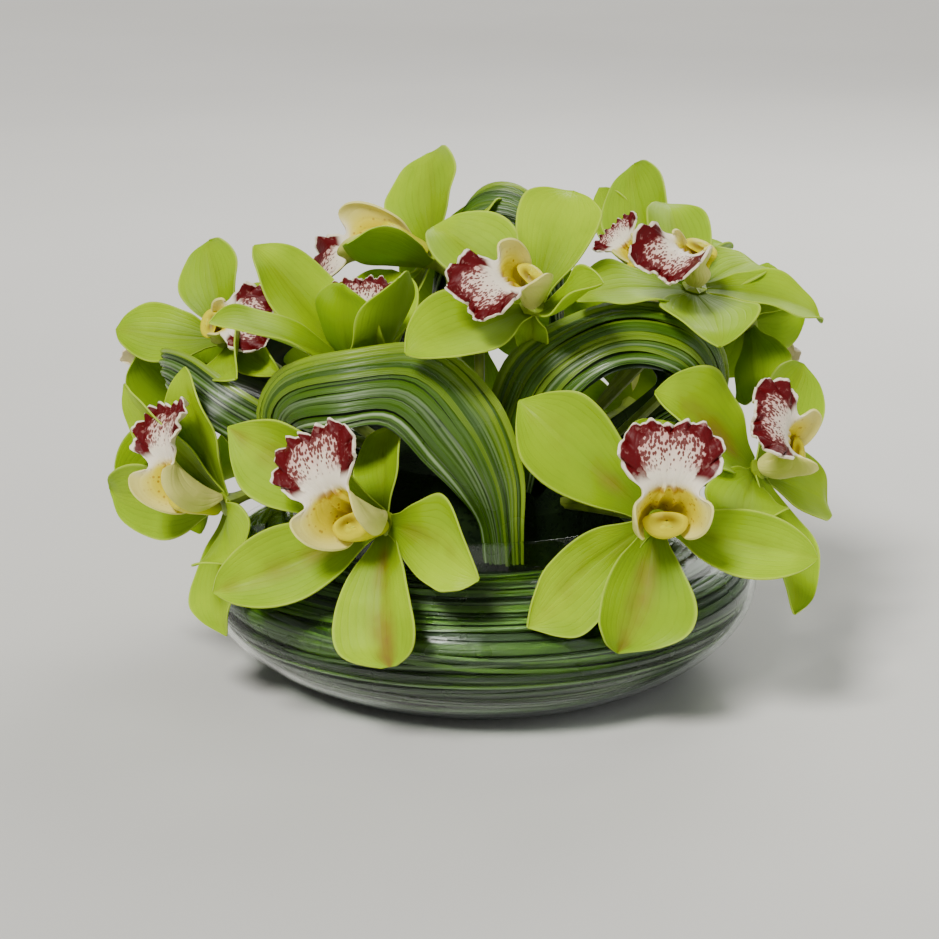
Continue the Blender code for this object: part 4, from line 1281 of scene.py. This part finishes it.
# %% Where the blooms stand
BLOOMS = [
    Bloom("front_right", (66, -84, 86), (6, 12), 2, (34, -44), [
        Tepal(190, 51, 38, 30, -45, form="spade", lean=7, shoulder=-0.18, fold=10, blush=0.7),
        Tepal(240, 61, 31, 18, -18, form="spade", lean=-8, shoulder=-0.2, blush=0.6),
        Tepal(104, 60, 26, 24, -16, fold=10, blush=0.2),
        Tepal(313, 66, 37, 0, -16, form="spade", fold=14, blush=0.7),
        Tepal(12, 46, 30, -35, -10)]),
    Bloom("front_left", (-36, -84, 85), (-32, 10), -28, (-20, -50), [
        Tepal(162, 54, 38, 34, -32, form="square", fold=8, blush=1.0),
        Tepal(238, 68, 30, 38, -10, fold=6, blush=0.6),
        Tepal(95, 47, 36, 22, -20, form="spade", lean=9, shoulder=-0.25, blush=0.4),
        Tepal(297, 68, 34, 30, -10, form="spade", fold=10, blush=0.7),
        Tepal(325, 50, 26, -30, -20)]),
    Bloom("left", (-100, -42, 80), (-50, -10), 5, (-50, -17), [
        Tepal(158, 50, 37, 32, -6, form="spade"),
        Tepal(269, 56, 34, 26, -12),
        Tepal(99, 41, 32, 42, -12, form="spade", twist=66),
        Tepal(318, 60, 28, 18, -8),
        Tepal(345, 53, 29, 4, -4)], lip_size=0.92, nod=30, swing=23, trough=36),
    Bloom("right", (109, -38, 92), (52, 28), -50, (50, -20), [
        Tepal(205, 60, 30, 18, -14),
        Tepal(250, 45, 34, 26, -14, form="square", twist=-60),
        Tepal(116, 50, 30, 0, -12),
        Tepal(317, 56, 44, 8, -14, blush=0.8),
        Tepal(50, 50, 32, 18, -4)], lip_size=0.88, ears=0.9, trough=30),
    Bloom("top_front", (20, -42, 159), (0, 52), -100, (12, -24), [
        Tepal(118, 40, 26, 44, 18, cup=50),
        Tepal(190, 20, 14, -85, 0),
        Tepal(20, 57, 35, 12, -16, form="spade", lean=-4),
        Tepal(237, 56, 34, 20, -12, fold=6),
        Tepal(318, 55, 34, 8, -16, fold=8)], lip_size=0.82, nod=2, swing=26, ears=0.95, trough=45),
    Bloom("upper_left", (-103, 15, 133), (-40, 30), 88, (-38, -8), [
        Tepal(258, 46, 26, 30, -8), Tepal(325, 44, 30, 8, -8),
        Tepal(120, 45, 28, 38, -4, cup=45),
        Tepal(10, 34, 22, -30, -10),
        Tepal(106, 38, 20, 16, -6, cup=55)], lip_size=0.74, nod=18, swing=10, ears=0.6, trough=30),
    Bloom("upper_middle", (-45, -16, 128), (-5, 62), -8, (-20, -8), [
        Tepal(122, 58, 42, 58, 36), Tepal(241, 76, 26, 45, -8), Tepal(210, 53, 36, 62, 46),
        Tepal(304, 64, 32, 38, -2),
        Tepal(8, 48, 32, 20, -10)], lip_size=0.72, nod=-26, ears=0.35),
    Bloom("top_left", (-20, 32, 162), (-70, 40), 200, (-10, 12), [
        Tepal(310, 56, 40, 16, -4), Tepal(350, 38, 22, -10, -10), Tepal(264, 42, 20, -10, -20),
        Tepal(128, 50, 26, 60, 6),
        Tepal(180, 38, 22, -14, -4)], lip_size=1.0, nod=14, swing=-8, trough=45),
    Bloom("upper_right", (85, -4, 158), (20, 66), -105, (36, 0), [
        Tepal(61, 42, 26, -2, -10), Tepal(98, 58, 26, 6, -40), Tepal(8, 50, 28, 14, -14),
        Tepal(193, 50, 40, 22, -14),
        Tepal(257, 56, 30, 20, -18)], lip_size=0.88, nod=6, swing=20, ears=0.5, trough=70),
    Bloom("top_right", (73, 42, 151), (-60, 45), -90, (40, 32), [
        Tepal(350, 40, 24, -25, -12), Tepal(110, 30, 22, -40, -12), Tepal(311, 62, 34, 22, -10),
        Tepal(150, 44, 26, 30, -10),
        Tepal(294, 62, 20, 10, 14)], lip_size=0.58, nod=-6, swing=-20, ears=0.5, trough=12),
    Bloom("right_back", (110, 38, 134), (150, 0), 180, (50, 10), [
        Tepal(360, 28, 30, 58, -10), Tepal(432, 46, 27, 34, -25), Tepal(218, 40, 30, -40, -10),
        Tepal(502, 34, 30, 34, -25),
        Tepal(285, 24, 30, 60, -25)], lip_size=0.7),
    Bloom("left_back", (-114, 38, 94), (-145, -5), 0, (-46, 10), [
        Tepal(180, 52, 30, 24, -10), Tepal(252, 56, 27, 20, -25), Tepal(118, 50, 27, 6, -25),
        Tepal(335, 38, 30, 20, -25),
        Tepal(45, 42, 30, 14, -25)]),
    Bloom("back_left", (-66, 88, 86), (-150, 8), 10, (-34, 42), [
        Tepal(190, 62, 30, 12, -25), Tepal(262, 50, 27, 15, -25), Tepal(118, 60, 27, 15, -25),
        Tepal(332, 60, 30, 8, -25),
        Tepal(48, 50, 30, 8, -25)]),
    Bloom("back_middle", (0, 92, 116), (180, 20), -5, (0, 50), [
        Tepal(175, 62, 30, 12, -25), Tepal(247, 48, 27, 25, -25), Tepal(103, 48, 27, 25, -25),
        Tepal(317, 52, 30, 8, -25),
        Tepal(33, 52, 30, 8, -25)]),
    Bloom("back_right", (66, 88, 86), (150, 8), -10, (34, 42), [
        Tepal(170, 62, 30, 12, -25), Tepal(242, 60, 27, 15, -25), Tepal(98, 50, 27, 15, -25),
        Tepal(312, 48, 30, 8, -25),
        Tepal(28, 60, 30, 8, -25)]),
]

# %% Making the blooms
for bloom in BLOOMS:
    make_tepals(bloom)
    make_lip(bloom)
    make_column(bloom)

# %% [markdown]
